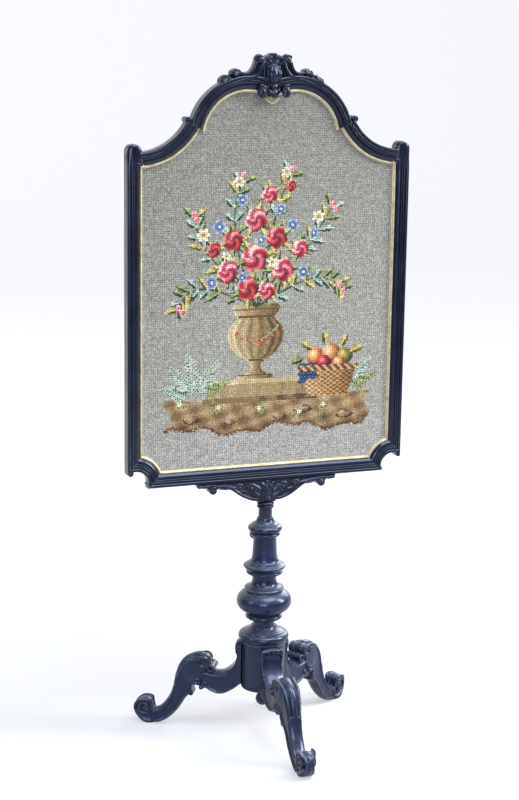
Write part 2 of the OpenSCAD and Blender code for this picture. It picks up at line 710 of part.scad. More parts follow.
module stretcher_part(x0, x1, y0, y1) {
    color(deal) difference() {
        upright() intersection() {
            difference() {
                slab(outline(stretcher_u), stretcher_f - stretcher_t, stretcher_f);
                slab(outline(stretcher_u + stretcher_w), -30, 30);
            }
            translate([x0, y0, -20]) cube([x1 - x0, y1 - y0, 40]);
        }
        tack_set(0.65, 0.65);
    }
}

module stretcher_left() stretcher_part(-400, 0, low_joint, high_joint);
module stretcher_right() stretcher_part(0, 400, low_joint, high_joint);
module stretcher_bottom() stretcher_part(-400, 400, 300, low_joint);
module stretcher_head() stretcher_part(-400, 400, high_joint, 1400);

module stretcher_bar() {
    reach_x = half_w - stretcher_u - stretcher_w;
    color(deal) upright() translate([-reach_x, (low_joint + high_joint) / 2, stretcher_f - stretcher_t])
        cube([2 * reach_x, stretcher_w, stretcher_t]);
}

module backboard() color(deal) upright() slab(outline(lip_u + 0.5), backboard_f - backboard_t, backboard_f);

hub_block();
hub_drop();
bulb_section();
drum_section();
column_cap();
leg_front();
leg_right();
leg_left();
leg_dowels();
clamp_bush();
clamp_screw();
clamp_knob();
rod();
rod_collar();
apron();
apron_screws();
bottom_rail();
corner_left();
corner_right();
stile_left();
stile_right();
sweep_left();
sweep_right();
arch_left();
arch_right();
crest();
frame_dowels();
slip_rail();
slip_corner_left();
slip_corner_right();
slip_stile_left();
slip_stile_right();
slip_sweep_left();
slip_sweep_right();
slip_arch_left();
slip_arch_right();
needlework();
canvas_tacks();
stretcher_left();
stretcher_right();
stretcher_bottom();
stretcher_head();
stretcher_bar();
backboard();
backboard_brads();
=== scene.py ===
import math

import bmesh
import bpy
import numpy as np
from mathutils import Matrix, Vector


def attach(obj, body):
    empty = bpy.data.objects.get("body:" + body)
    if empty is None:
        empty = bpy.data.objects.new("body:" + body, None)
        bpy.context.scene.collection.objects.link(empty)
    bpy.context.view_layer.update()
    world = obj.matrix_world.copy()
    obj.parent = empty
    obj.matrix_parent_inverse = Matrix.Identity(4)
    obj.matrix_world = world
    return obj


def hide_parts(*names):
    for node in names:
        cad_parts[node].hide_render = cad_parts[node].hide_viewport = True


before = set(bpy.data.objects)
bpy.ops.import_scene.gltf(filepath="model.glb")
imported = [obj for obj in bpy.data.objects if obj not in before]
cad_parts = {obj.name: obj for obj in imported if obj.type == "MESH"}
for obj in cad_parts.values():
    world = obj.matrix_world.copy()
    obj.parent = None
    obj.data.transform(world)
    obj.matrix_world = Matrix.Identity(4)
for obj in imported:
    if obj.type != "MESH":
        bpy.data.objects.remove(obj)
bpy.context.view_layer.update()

# Lengths are in millimetres until a mesh is made. The panel's pieces are laid out flat on the
# bench, as in the source: x across, z up the panel, f towards the viewer.
MM = 0.001
AXIS_Y = 56.639
HALF_W = 274.0
RAIL_Z = 508.5
MEMBER_W = 24.5
FACE_F = 12.5
BACK_F = -12.5
LIP_F = 3.4
LIP_U = 17.5
SLIP_U = 32.0
SLIP_BACK_F = 0.6
SWEEP_C, SWEEP_R = np.array([254.0, 1230.0]), 104.5
ARCH_C, ARCH_R = np.array([46.0, 1147.5]), 112.5
CORNER_C, CORNER_R = np.array([258.5, 517.0]), 25.0
KINK_A, KINK_B = SWEEP_C - [115, 64], SWEEP_C - [93, 52]
EAR_C = np.array([HALF_W - MEMBER_W / 2, 1139.5 - MEMBER_W / 2])
LOBE_C, LOBE_R = np.array([268.5, 539.6]), 5.5
TOE_C, TOE_R = np.array([229.5, 514.8]), 6.3
KNOB_C = SWEEP_C - [92.5, 48.5]
CREST_Z = 1300.0


# Curves

def arc(c, r, a0, a1, n=12):
    """Points on a circle about c from angle a0 to a1 in degrees: c + r (cos a, sin a)."""
    return oval(c, r, r, a0, a1, n)


def oval(c, rx, ry, a0, a1, n=12):
    """Points on an ellipse about c: c + (rx cos a, ry sin a)."""
    a = np.radians(np.linspace(a0, a1, n + 1))
    return np.asarray(c, float) + np.stack([rx * np.cos(a), ry * np.sin(a)], -1)


def smooth(knots, n=6):
    """A Catmull-Rom curve through the knots, each span a cubic in t with n steps."""
    p = np.asarray(knots, float)
    q = np.concatenate([p[:1], p, p[-1:]])
    a, b, c, d = q[:-3, None], q[1:-2, None], q[2:-1, None], q[3:, None]
    t = (np.arange(n) / n)[None, :, None]
    curve = (2 * b + t * (c - a) + t**2 * (2 * a - 5 * b + 4 * c - d)
             + t**3 * (3 * b - a - 3 * c + d)) / 2
    return np.concatenate([curve.reshape(-1, p.shape[1]), p[-1:]])


def spiral(c, r_out, r_in, turns, start, hand, n=60):
    """A spiral about c whose radius falls evenly from r_out to r_in as its angle turns."""
    t = np.linspace(0, 1, n)
    a = np.radians(start + hand * 360 * turns * t)
    r = r_out + (r_in - r_out) * t
    return np.asarray(c, float) + np.stack([r * np.cos(a), r * np.sin(a)], -1)


# Surfaces: each is a list of points and a list of faces

def grid(points):
    """A skin over a grid of points: one quad between each four neighbours."""
    n, m = points.shape[:2]
    k = np.arange(n * m).reshape(n, m)
    quads = np.stack([k[:-1, :-1], k[:-1, 1:], k[1:, 1:], k[1:, :-1]], -1).reshape(-1, 4)
    return points.reshape(-1, 3), quads.tolist()


def revolve(profile, centre, axis=(0, 0, 1), steps=96):
    """A profile of (radius, height) turned about an axis: centre + r (cos a side + sin a up) + h axis."""
    w = np.asarray(axis, float)
    side = np.array([1.0, 0, 0]) if abs(w[0]) < 0.9 else np.array([0, 1.0, 0])
    up = np.cross(w, side)
    a = np.linspace(0, 2 * np.pi, steps + 1)[None, :, None]
    r, h = np.asarray(profile, float)[:, 0, None, None], np.asarray(profile, float)[:, 1, None, None]
    return grid(np.asarray(centre, float) + r * (np.cos(a) * side + np.sin(a) * up) + h * w)


def tube(path, radius, around=12, flat=(0, 0, 1)):
    """A round rope along a path: path + r (cos a n + sin a b), with n and b square to the path."""
    p = np.asarray(path, float)
    r = np.broadcast_to(np.asarray(radius, float), len(p))
    d = np.gradient(p, axis=0)
    d /= np.linalg.norm(d, axis=1)[:, None]
    n = np.cross(d, np.asarray(flat, float))
    n /= np.linalg.norm(n, axis=1)[:, None]
    b = np.cross(d, n)
    a = np.linspace(0, 2 * np.pi, around + 1)[None, :, None]
    body = p[:, None] + r[:, None, None] * (np.cos(a) * n[:, None] + np.sin(a) * b[:, None])
    close = [np.broadcast_to(p[k], (1, around + 1, 3)) for k in (0, -1)]
    return grid(np.concatenate([close[0], body, close[1]]))


def ball(c, rx, ry, rz, ribs=0, depth=0.0, n=36):
    """An ellipsoid: c + (rx cos u cos v, ry cos u sin v, rz sin u), its girth waved by its ribs."""
    u = np.linspace(-np.pi / 2, np.pi / 2, n)[:, None]
    v = np.linspace(0, 2 * np.pi, 2 * n + 1)[None, :]
    wave = 1 + depth * (np.abs(np.cos(ribs * v / 2)) - 0.6)
    x, y = rx * np.cos(u) * np.cos(v) * wave, ry * np.cos(u) * np.sin(v) * wave
    return grid(np.asarray(c, float) + np.stack([x, y, rz * np.sin(u) + 0 * v], -1))


def plate(outline, low, high, inset=1.2):
    """A flat outline raised from low to high, its upper edge rounded inwards by the inset."""
    p = np.asarray(outline, float)
    d = np.roll(p, -1, 0) - np.roll(p, 1, 0)
    d /= np.linalg.norm(d, axis=1)[:, None] + 1e-9
    area = np.sum(p[:, 0] * np.roll(p[:, 1], -1) - np.roll(p[:, 0], -1) * p[:, 1])
    inward = np.stack([-d[:, 1], d[:, 0]], -1) * np.sign(area)
    rows = [(low, 0.0), (high - inset, 0.0), (high - 0.3 * inset, 0.3 * inset), (high, inset)]
    ring = np.stack([np.column_stack([p + inward * k, np.full(len(p), h)]) for h, k in rows])
    ring = np.concatenate([ring, ring[:, :1]], 1)
    points, faces = grid(ring)
    m = len(p) + 1
    return points, faces + [list(range(m - 1)), list(range(3 * m, 4 * m - 1))]


def relief(front, back):
    """A carved face over a grid of (x, z, f), closed by its own outline laid flat at the back."""
    rear = front.copy()
    rear[..., 2] = back
    sides = [np.stack([front[0], rear[0]]), np.stack([front[-1], rear[-1]]),
             np.stack([front[:, 0], rear[:, 0]]), np.stack([front[:, -1], rear[:, -1]])]
    return [grid(g) for g in (front, rear, *sides)]


def leaf(p, angle, length, width, low, rise, veins=5):
    """A leaf: half as wide as sin(pi s) along it, arched across, with a midrib and slanting veins."""
    s = np.linspace(0, 1, 30)[:, None]
    t = np.linspace(-1, 1, 21)[None, :]
    half = width / 2 * np.sin(np.pi * s**0.8) ** 0.8 * (1 + 0.07 * np.cos(2 * np.pi * veins * s))
    f = low + rise * np.sin(np.pi * s) ** 0.6 * (1 - 0.8 * t**2) + 0.9 * np.exp(-(t / 0.13) ** 2) * (1 - s)
    f = f + 0.35 * np.cos(2 * np.pi * veins * (s - 0.18 * np.abs(t))) * np.abs(t)
    a = np.radians(angle)
    x, z = length * s + 0 * t, half * t
    front = np.stack([p[0] + x * np.cos(a) - z * np.sin(a), p[1] + x * np.sin(a) + z * np.cos(a), f], -1)
    return relief(front, low - 2.5)


def roll(c, r, low, high, dish=1.5, hole=0.0):
    """A short round end: a cylinder whose face is rounded over, dished, and may have an eye."""
    eye = [[hole, high - 1.2 - 2 * dish], [0, high - 1.2 - 2 * dish]] if hole else [[0, high - dish]]
    profile = np.concatenate([[[0, low], [r, low]], arc([r - 1.6, high - 1.6], 1.6, 0, 90, 5),
                              [[r * 0.62, high - dish * 0.6]], eye])
    return revolve(profile, (*c, 0))


# Making meshes and pieces

def mesh_of(name, surfaces, merge=1e-6, outward=True):
    """One mesh from surfaces in millimetres: seams and poles merge, and faces turn outward."""
    points, faces, start = [], [], 0
    for p, f in surfaces:
        points.append(p)
        faces += [[k + start for k in face] for face in f]
        start += len(p)
    mesh = bpy.data.meshes.new(name)
    mesh.from_pydata((np.concatenate(points) * MM).tolist(), [], faces)
    b = bmesh.new()
    b.from_mesh(mesh)
    bmesh.ops.remove_doubles(b, verts=b.verts, dist=merge)
    if outward:
        bmesh.ops.recalc_face_normals(b, faces=b.faces)
    b.to_mesh(mesh)
    b.free()
    return mesh


def carved(name, surfaces, cell, rubs):
    """Overlapping forms made one skin on small cubes, then rubbed smooth, as a carver blends them."""
    rough = bpy.data.objects.new(name + "_rough", mesh_of(name + "_rough", surfaces))
    bpy.context.scene.collection.objects.link(rough)
    skin = rough.modifiers.new("skin", "REMESH")
    skin.mode, skin.voxel_size, skin.use_smooth_shade = "VOXEL", cell * MM, True
    rub = rough.modifiers.new("rub", "SMOOTH")
    rub.factor, rub.iterations = 0.5, rubs
    mesh = bpy.data.meshes.new_from_object(rough.evaluated_get(bpy.context.evaluated_depsgraph_get()))
    bpy.data.objects.remove(rough)
    mesh.name = name
    return mesh


def piece(name, mesh, body, material, replaces=(), sharp=38):
    """Puts a finished mesh on its body, in its material, in place of CAD nodes."""
    mesh.materials.clear()
    mesh.materials.append(material)
    mesh.polygons.foreach_set("use_smooth", np.ones(len(mesh.polygons), bool))
    if sharp:
        mesh.set_sharp_from_angle(angle=math.radians(sharp))
    made = bpy.data.objects.new(name, mesh)
    bpy.context.scene.collection.objects.link(made)
    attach(made, body)
    if replaces:
        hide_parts(*([replaces] if isinstance(replaces, str) else replaces))
    return made


def stand(surfaces, hand=1):
    """Moves surfaces from the flat bench (x, z, f) to where they stand (x, y, z)."""
    return [(np.stack([hand * p[:, 0], AXIS_Y - p[:, 2], p[:, 1]], -1), f) for p, f in surfaces]


def moved(mesh, name, matrix):
    """A copy of a mesh, moved by a matrix."""
    copy = mesh.copy()
    copy.name = name
    copy.transform(matrix)
    return copy


# Materials

def colour(code):
    """Linear colour of an sRGB hex code."""
    v = np.array([int(code[k:k + 2], 16) for k in (1, 3, 5)]) / 255
    return (*np.where(v <= 0.04045, v / 12.92, ((v + 0.055) / 1.055) ** 2.4), 1.0)


def add(mat, kind, links=None, values=None, **settings):
    """Adds a node to a material or world, with its settings, socket values and incoming links."""
    made = mat.node_tree.nodes.new(kind)
    for key, value in settings.items():
        setattr(made, key, value)
    for key, value in (values or {}).items():
        made.inputs[key].default_value = value
    for key, (source, socket) in (links or {}).items():
        mat.node_tree.links.new(source.outputs[socket], made.inputs[key])
    return made


def new_material(name):
    mat = bpy.data.materials.new(name)
    mat.use_nodes = True
    mat.node_tree.nodes.clear()
    return mat


def ramp(mat, source, socket, stops):
    """A colour ramp from (place, hex) stops, driven by a node's output."""
    made = add(mat, "ShaderNodeValToRGB", {"Fac": (source, socket)})
    e = made.color_ramp.elements
    while len(e) < len(stops):
        e.new(0.5)
    for k, (place, code) in enumerate(stops):
        e[k].position, e[k].color = place, colour(code)
    return made


def level(mat, source, socket, low, high, to_low, to_high):
    """Maps a value from one range to another, and holds it there."""
    return add(mat, "ShaderNodeMapRange", {"Value": (source, socket)},
               {"From Min": low, "From Max": high, "To Min": to_low, "To Max": to_high})


def finish(mat, shader):
    add(mat, "ShaderNodeOutputMaterial", {"Surface": (shader, "BSDF")})
    return mat


def ebonised_wood(name, along, stains=("#06080f", "#0a0f1e", "#12182c"), edge_tone="#777c8c", wear_and_rim_light=0.22, dust_and_top_light=0.12):
    """Pear wood stained black with iron and gall, and French polished: blue-black, with a clear
    gloss over satin, its pores just seen, rubbed grey where hands and dusters reach the edges, and
    greyed where it faces up, by old dust in the polish and by painted top light, with its hollows
    darkened nearly to black as painted shade. Where the wear is set high, the pale edges are also a
    painted rim highlight."""
    mat = new_material(name)
    place = add(mat, "ShaderNodeTexCoord")
    # Pores are about 0.4 mm wide and ten times as long; they are drawn at twice that to show
    stretch = add(mat, "ShaderNodeMapping", {"Vector": (place, "Object")}, {"Scale": along})
    pores = add(mat, "ShaderNodeTexNoise", {"Vector": (stretch, "Vector")},
                {"Scale": 900.0, "Detail": 3.0, "Roughness": 0.6})
    cloud = add(mat, "ShaderNodeTexNoise", {"Vector": (place, "Object")},
                {"Scale": 26.0, "Detail": 4.0, "Roughness": 0.6})
    stain = ramp(mat, cloud, "Fac", [(0.3, stains[0]), (0.52, stains[1]), (0.75, stains[2])])
    edge = add(mat, "ShaderNodeNewGeometry")
    # The edges are rubbed pale by wear; where the wear is set high, as on the base, this is also a painted rim
    # highlight
    rubbed = level(mat, edge, "Pointiness", 0.515, 0.58, 0.0, wear_and_rim_light)
    scuffs = add(mat, "ShaderNodeTexNoise", {"Vector": (place, "Object")},
                 {"Scale": 210.0, "Detail": 3.0, "Roughness": 0.65})
    bare = level(mat, scuffs, "Fac", 0.42, 0.62, 0.25, 1.5)
    patchy = add(mat, "ShaderNodeMath", {0: (rubbed, "Result"), 1: (bare, "Result")}, operation="MULTIPLY")
    tone = add(mat, "ShaderNodeMix", {"Factor": (patchy, "Value"), "A": (stain, "Color")},
               data_type="RGBA")
    tone.inputs["B"].default_value = colour(edge_tone)
    # Upward faces are greyed in patches, partly by old dust and partly as painted top light
    facing = add(mat, "ShaderNodeSeparateXYZ", {"Vector": (edge, "Normal")})
    upward = level(mat, facing, "Z", 0.15, 0.95, 0.0, dust_and_top_light)
    top_film_patches = level(mat, scuffs, "Fac", 0.4, 0.62, 0.75, 1.25)
    dust_and_top_light_film = add(mat, "ShaderNodeMath", {0: (upward, "Result"), 1: (top_film_patches, "Result")}, operation="MULTIPLY")
    tone = add(mat, "ShaderNodeMix", {"Factor": (dust_and_top_light_film, "Value"), "A": (tone, "Result")}, data_type="RGBA")
    tone.inputs["B"].default_value = colour("#7b8697")
    # Painted shade: the hollows are darkened nearly to black
    painted_crease_shade = level(mat, edge, "Pointiness", 0.41, 0.485, 0.8, 0.0)
    tone = add(mat, "ShaderNodeMix", {"Factor": (painted_crease_shade, "Result"), "A": (tone, "Result")}, data_type="RGBA")
    tone.inputs["B"].default_value = colour("#050609")
    gloss = level(mat, cloud, "Fac", 0.3, 0.75, 0.26, 0.40)
    dull = level(mat, pores, "Fac", 0.35, 0.7, -0.03, 0.07)
    rough = add(mat, "ShaderNodeMath", {0: (gloss, "Result"), 1: (dull, "Result")}, operation="ADD")
    dents = add(mat, "ShaderNodeTexNoise", {"Vector": (place, "Object")},
                {"Scale": 120.0, "Detail": 2.0, "Roughness": 0.5})
    wavy = add(mat, "ShaderNodeBump", {"Height": (dents, "Fac")}, {"Strength": 0.08, "Distance": 0.0009})
    grain = add(mat, "ShaderNodeBump", {"Height": (pores, "Fac"), "Normal": (wavy, "Normal")},
                {"Strength": 0.06, "Distance": 0.0004})
    wood = add(mat, "ShaderNodeBsdfPrincipled",
               {"Base Color": (tone, "Result"), "Roughness": (rough, "Value"), "Normal": (grain, "Normal")},
               {"IOR": 1.5, "Specular Tint": colour("#a9bbf4"), "Coat Weight": 0.45, "Coat Roughness": 0.08})
    return finish(mat, wood)


def gold_leaf():
    """Leaf gilding over gesso and red bole: soft gold, rubbed through on its high edges."""
    mat = new_material("gold_leaf_on_gesso")
    place = add(mat, "ShaderNodeTexCoord")
    cloud = add(mat, "ShaderNodeTexNoise", {"Vector": (place, "Object")},
                {"Scale": 70.0, "Detail": 5.0, "Roughness": 0.65})
    leafing = ramp(mat, cloud, "Fac", [(0.3, "#bfae88"), (0.55, "#ddd3b4"), (0.8, "#f2ecd8")])
    edge = add(mat, "ShaderNodeNewGeometry")
    rubbed = level(mat, edge, "Pointiness", 0.53, 0.62, 0.0, 0.35)
    tone = add(mat, "ShaderNodeMix", {"Factor": (rubbed, "Result"), "A": (leafing, "Color")},
               data_type="RGBA")
    tone.inputs["B"].default_value = colour("#9a6a44")
    rough = level(mat, cloud, "Fac", 0.3, 0.7, 0.34, 0.5)
    dents = add(mat, "ShaderNodeBump", {"Height": (cloud, "Fac")}, {"Strength": 0.2, "Distance": 0.0006})
    gold = add(mat, "ShaderNodeBsdfPrincipled",
               {"Base Color": (tone, "Result"), "Roughness": (rough, "Result"), "Normal": (dents, "Normal")},
               {"Metallic": 0.35, "Specular Tint": colour("#f0dca8")})
    return finish(mat, gold)


def bare_softwood(name, along, dark="#8a6538", pale="#bb9460"):
    """Planed deal: yellow-brown, with darker late-wood lines a few millimetres apart."""
    mat = new_material(name)
    place = add(mat, "ShaderNodeTexCoord")
    stretch = add(mat, "ShaderNodeMapping", {"Vector": (place, "Object")}, {"Scale": along})
    bend = add(mat, "ShaderNodeTexNoise", {"Vector": (stretch, "Vector")},
               {"Scale": 14.0, "Detail": 3.0, "Roughness": 0.55})
    rings = add(mat, "ShaderNodeTexNoise", {"Vector": (stretch, "Vector")},
                {"Scale": 95.0, "Detail": 5.0, "Roughness": 0.7, "Distortion": 0.4})
    mixed = add(mat, "ShaderNodeMath", {0: (rings, "Fac"), 1: (bend, "Fac")}, operation="MULTIPLY")
    tone = ramp(mat, mixed, "Value", [(0.14, pale), (0.25, "#a98250"), (0.37, dark)])
    fibre = add(mat, "ShaderNodeTexNoise", {"Vector": (stretch, "Vector")}, {"Scale": 1500.0, "Detail": 2.0})
    bump = add(mat, "ShaderNodeBump", {"Height": (fibre, "Fac")}, {"Strength": 0.25, "Distance": 0.0004})
    wood = add(mat, "ShaderNodeBsdfPrincipled", {"Base Color": (tone, "Color"), "Normal": (bump, "Normal")},
               {"Roughness": 0.72, "IOR": 1.5})
    return finish(mat, wood)


def old_metal(name, bright, dark, roughness):
    """Plain metal dulled by air: a bright and a dark tone in patches, with fine scratches."""
    mat = new_material(name)
    place = add(mat, "ShaderNodeTexCoord")
    cloud = add(mat, "ShaderNodeTexNoise", {"Vector": (place, "Object")},
                {"Scale": 260.0, "Detail": 4.0, "Roughness": 0.6})
    tone = ramp(mat, cloud, "Fac", [(0.35, dark), (0.65, bright)])
    rough = level(mat, cloud, "Fac", 0.3, 0.7, roughness - 0.08, roughness + 0.12)
    bump = add(mat, "ShaderNodeBump", {"Height": (cloud, "Fac")}, {"Strength": 0.15, "Distance": 0.0003})
    metal = add(mat, "ShaderNodeBsdfPrincipled",
                {"Base Color": (tone, "Color"), "Roughness": (rough, "Result"), "Normal": (bump, "Normal")},
                {"Metallic": 1.0})
    return finish(mat, metal)


STITCH = 2.1


def woolwork():
    """Berlin wool and bead-grey silk in cross stitch on canvas: matt wool, a faint lustre in the
    ground, each stitch a raised cross, with painted shade in its low parts and in the holes of the
    canvas at its corners."""
    mat = new_material("wool_cross_stitch_on_canvas")
    place = add(mat, "ShaderNodeTexCoord")
    count = add(mat, "ShaderNodeVectorMath", {0: (place, "Object")}, operation="SCALE")
    count.inputs["Scale"].default_value = 1000 / STITCH
    cell = add(mat, "ShaderNodeVectorMath", {0: (count, "Vector")}, operation="FLOOR")
    part = add(mat, "ShaderNodeVectorMath", {0: (count, "Vector")}, operation="FRACTION")
    split = add(mat, "ShaderNodeSeparateXYZ", {"Vector": (part, "Vector")})
    rise = add(mat, "ShaderNodeMath", {0: (split, "X"), 1: (split, "Z")}, operation="SUBTRACT")
    fall = add(mat, "ShaderNodeMath", {0: (split, "X"), 1: (split, "Z")}, operation="ADD")
    fall = add(mat, "ShaderNodeMath", {0: (fall, "Value")}, {1: 1.0}, operation="SUBTRACT")
    legs = []
    for slant in (rise, fall):
        off = add(mat, "ShaderNodeMath", {0: (slant, "Value")}, operation="ABSOLUTE")
        legs.append(level(mat, off, "Value", 0.0, 0.42, 1.0, 0.0))
    cross = add(mat, "ShaderNodeMath", {0: (legs[0], "Result"), 1: (legs[1], "Result")},
                operation="MAXIMUM")
    # How far a point is from the middle of its stitch, along either thread of the canvas
    away = []
    for axis in ("X", "Z"):
        mid = add(mat, "ShaderNodeMath", {0: (split, axis)}, {1: 0.5}, operation="SUBTRACT")
        away.append(add(mat, "ShaderNodeMath", {0: (mid, "Value")}, operation="ABSOLUTE"))
    hole = add(mat, "ShaderNodeMath", {0: (away[0], "Value"), 1: (away[1], "Value")}, operation="MINIMUM")
    hole = level(mat, hole, "Value", 0.36, 0.5, 0.0, 1.0)
    chance = add(mat, "ShaderNodeTexWhiteNoise", {"Vector": (cell, "Vector")}, noise_dimensions="3D")
    shade = level(mat, chance, "Value", 0.0, 1.0, 0.68, 1.32)
    # Painted shade: the parts of each stitch off its raised cross are darker
    height = level(mat, cross, "Value", 0.0, 1.0, 0.80, 1.05)
    dark = add(mat, "ShaderNodeMath", {0: (shade, "Result"), 1: (height, "Result")}, operation="MULTIPLY")
    # Painted shade: the canvas holes at the stitch's corners are darkened
    hole_shade = level(mat, hole, "Result", 0.0, 1.0, 1.0, 0.32)
    dark = add(mat, "ShaderNodeMath", {0: (dark, "Value"), 1: (hole_shade, "Result")}, operation="MULTIPLY")
    # The canvas is woven in pairs of threads, which stand out more than its stitches: drawn at 4.2 mm,
    #     about twice the real size, to show. The gaps between the pairs are painted darker and their middles
    #     lighter, as painted shade and light
    twos = add(mat, "ShaderNodeVectorMath", {0: (count, "Vector")}, operation="SCALE")
    twos.inputs["Scale"].default_value = 0.5
    twos = add(mat, "ShaderNodeVectorMath", {0: (twos, "Vector")}, operation="FRACTION")
    twos = add(mat, "ShaderNodeSeparateXYZ", {"Vector": (twos, "Vector")})
    for axis in ("X", "Z"):
        mid = add(mat, "ShaderNodeMath", {0: (twos, axis)}, {1: 0.5}, operation="SUBTRACT")
        mid = add(mat, "ShaderNodeMath", {0: (mid, "Value")}, operation="ABSOLUTE")
        wave = level(mat, mid, "Value", 0.05, 0.45, 1.17, 0.82)
        dark = add(mat, "ShaderNodeMath", {0: (dark, "Value"), 1: (wave, "Result")}, operation="MULTIPLY")
    # The rows differ a little, as each length of wool does
    rows = add(mat, "ShaderNodeMapping", {"Vector": (cell, "Vector")}, {"Scale": (0.035, 1.0, 0.45)})
    lengths = add(mat, "ShaderNodeTexNoise", {"Vector": (rows, "Vector")}, {"Scale": 1.0, "Detail": 2.0})
    streak = level(mat, lengths, "Fac", 0.3, 0.7, 0.92, 1.08)
    dark = add(mat, "ShaderNodeMath", {0: (dark, "Value"), 1: (streak, "Result")}, operation="MULTIPLY")
    yarn = add(mat, "ShaderNodeAttribute", attribute_name="stitch")
    tone = add(mat, "ShaderNodeVectorMath", {0: (yarn, "Color")}, operation="SCALE")
    mat.node_tree.links.new(dark.outputs["Value"], tone.inputs["Scale"])
    bump = add(mat, "ShaderNodeBump", {"Height": (cross, "Value")}, {"Strength": 0.55, "Distance": 0.0007})
    rough = level(mat, chance, "Value", 0.0, 1.0, 0.55, 0.95)
    wool = add(mat, "ShaderNodeBsdfPrincipled",
               {"Base Color": (tone, "Vector"), "Roughness": (rough, "Result"), "Normal": (bump, "Normal")},
               {"Sheen Weight": 0.12, "Sheen Roughness": 0.5, "IOR": 1.45, "Specular IOR Level": 0.35})
    return finish(mat, wool)


WOOD_UP = ebonised_wood("ebonised_pear_upright_grain", (1.0, 1.0, 0.1))
WOOD_ACROSS = ebonised_wood("ebonised_pear_level_grain", (0.1, 1.0, 1.0))
WOOD_CARVED = ebonised_wood("ebonised_pear_carved", (1.0, 1.0, 1.0))
# The base's edges and upward faces are lightened more than the frame's: partly wear and dust, partly painted rim
# highlight and painted top light
WOOD_BASE = ebonised_wood("ebonised_pear_base", (1.0, 1.0, 0.3), ("#080e1f", "#0f1935", "#1a2950"), "#908e8e", 0.55, 0.34)
WOOD_ROD = ebonised_wood("ebonised_rod", (1.0, 1.0, 0.1), ("#090b14", "#121626", "#1c2134"), "#5c4c44", 0.10, 0.0)
GILT = gold_leaf()
DEAL_UP = bare_softwood("planed_deal_upright", (1.0, 1.0, 0.06))
DEAL_ACROSS = bare_softwood("planed_deal_level", (0.06, 1.0, 1.0))
BRASS = old_metal("tarnished_brass", "#c9a45a", "#8a6a34", 0.36)
IRON = old_metal("oxidised_iron", "#7c7d80", "#4a4541", 0.5)
WOOL = woolwork()


# The moulded frame

def on_x(c, r, x, side):
    return np.stack([x, c[1] + side * np.sqrt(r * r - (x - c[0]) ** 2)], -1)


def on_y(c, r, y, side):
    return np.stack([c[0] + side * np.sqrt(r * r - (y - c[1]) ** 2), y], -1)


def on_line(c, r, p, q, side):
    """Where circles about c of radii r cross the line from p to q."""
    d = (q - p) / np.linalg.norm(q - p)
    f = p - c
    b = f @ d
    return p + (side * np.sqrt(b * b - f @ f + r * r) - b)[:, None] * d


def rail_end(u): return on_y(CORNER_C, CORNER_R + u, RAIL_Z + u, -1)
def stile_foot(u): return on_x(CORNER_C, CORNER_R + u, HALF_W - u, 1)
def stile_head(u): return on_x(SWEEP_C, SWEEP_R + u, HALF_W - u, -1)
def sweep_butt(u): return on_x(SWEEP_C, SWEEP_R + u, np.minimum(HALF_W - u, 250.4), -1)
def sweep_end(u): return on_line(SWEEP_C, SWEEP_R + u, KINK_A, KINK_B, -1)
def arch_foot(u): return on_line(ARCH_C, ARCH_R - u, KINK_A, KINK_B, 1)
def arch_top(u): return on_x(ARCH_C, ARCH_R - u, 0 * u, 1)


def straight(a, b, n):
    """Straight ways from each point of a to its point of b."""
    t = np.linspace(0, 1, n)[:, None, None]
    return a * (1 - t) + b * t


def about(c):
    """Ways that turn about c from each point of a to its point of b, each at its own radius."""
    def way(a, b, n):
        r = np.linalg.norm(a - c, axis=1)
        t0 = np.arctan2(a[:, 1] - c[1], a[:, 0] - c[0])
        t1 = np.arctan2(b[:, 1] - c[1], b[:, 0] - c[0])
        turn = (t1 - t0 + np.pi) % (2 * np.pi) - np.pi
        t = t0 + np.linspace(0, 1, n)[:, None] * turn
        return c + r[:, None] * np.stack([np.cos(t), np.sin(t)], -1)
    return way


# The moulding's face, as (depth inside the outer edge, height): a half round, two fine reeds, and a
# broad band that slopes to the slip
REEDS = np.concatenate([
    oval([3.6, FACE_F - 4.2], 3.6, 4.2, 180, 16, 16), [[7.3, FACE_F - 3.1]],
    oval([9.4, FACE_F - 2.7], 1.9, 1.5, 165, 15, 10), [[11.5, FACE_F - 3.2]],
    oval([13.3, FACE_F - 3.5], 1.6, 1.3, 165, 15, 10), [[15.1, FACE_F - 4.4]],
    smooth([[15.8, FACE_F - 3.7], [17.6, FACE_F - 3.8], [19.6, FACE_F - 4.6], [21.4, FACE_F - 5.9],
            [23.0, FACE_F - 7.5], [MEMBER_W, FACE_F - 8.8]], 3)])
REEDS_BACK = np.column_stack([REEDS[:, 0], np.where(REEDS[:, 0] > LIP_U, LIP_F, BACK_F)])
SLIP = np.concatenate([
    [[LIP_U + 0.4, LIP_F - 0.2], [MEMBER_W - 0.6, LIP_F - 0.2], [MEMBER_W + 0.3, 1.6], [MEMBER_W + 0.8, 1.6]],
    smooth([[MEMBER_W + 1.0, 3.6], [MEMBER_W + 1.5, 5.0], [MEMBER_W + 2.5, 5.6], [MEMBER_W + 3.4, 4.9],
            [MEMBER_W + 3.8, 3.6], [MEMBER_W + 4.1, 2.2], [MEMBER_W + 4.7, 1.5], [SLIP_U - 2.0, 1.1]], 3)])
SLIP_BACK = np.column_stack([SLIP[:, 0], np.full(len(SLIP), SLIP_BACK_F)])


def moulding(face, back, start, end, way, n):
    """A face and back carried along ways from start(u) to end(u), each with a mitred end."""
    loop = np.concatenate([face, back[::-1], face[:1]])
    route = way(start(loop[:, 0]), end(loop[:, 0]), n)
    skin = np.concatenate([route, np.broadcast_to(loop[:, 1, None], (*route.shape[:2], 1))], -1)
    k = len(face)
    caps = [np.stack([row[:k], row[2 * k - 1:k - 1:-1]]) for row in (skin[0], skin[-1])]
    return [grid(g) for g in (skin, *caps)]


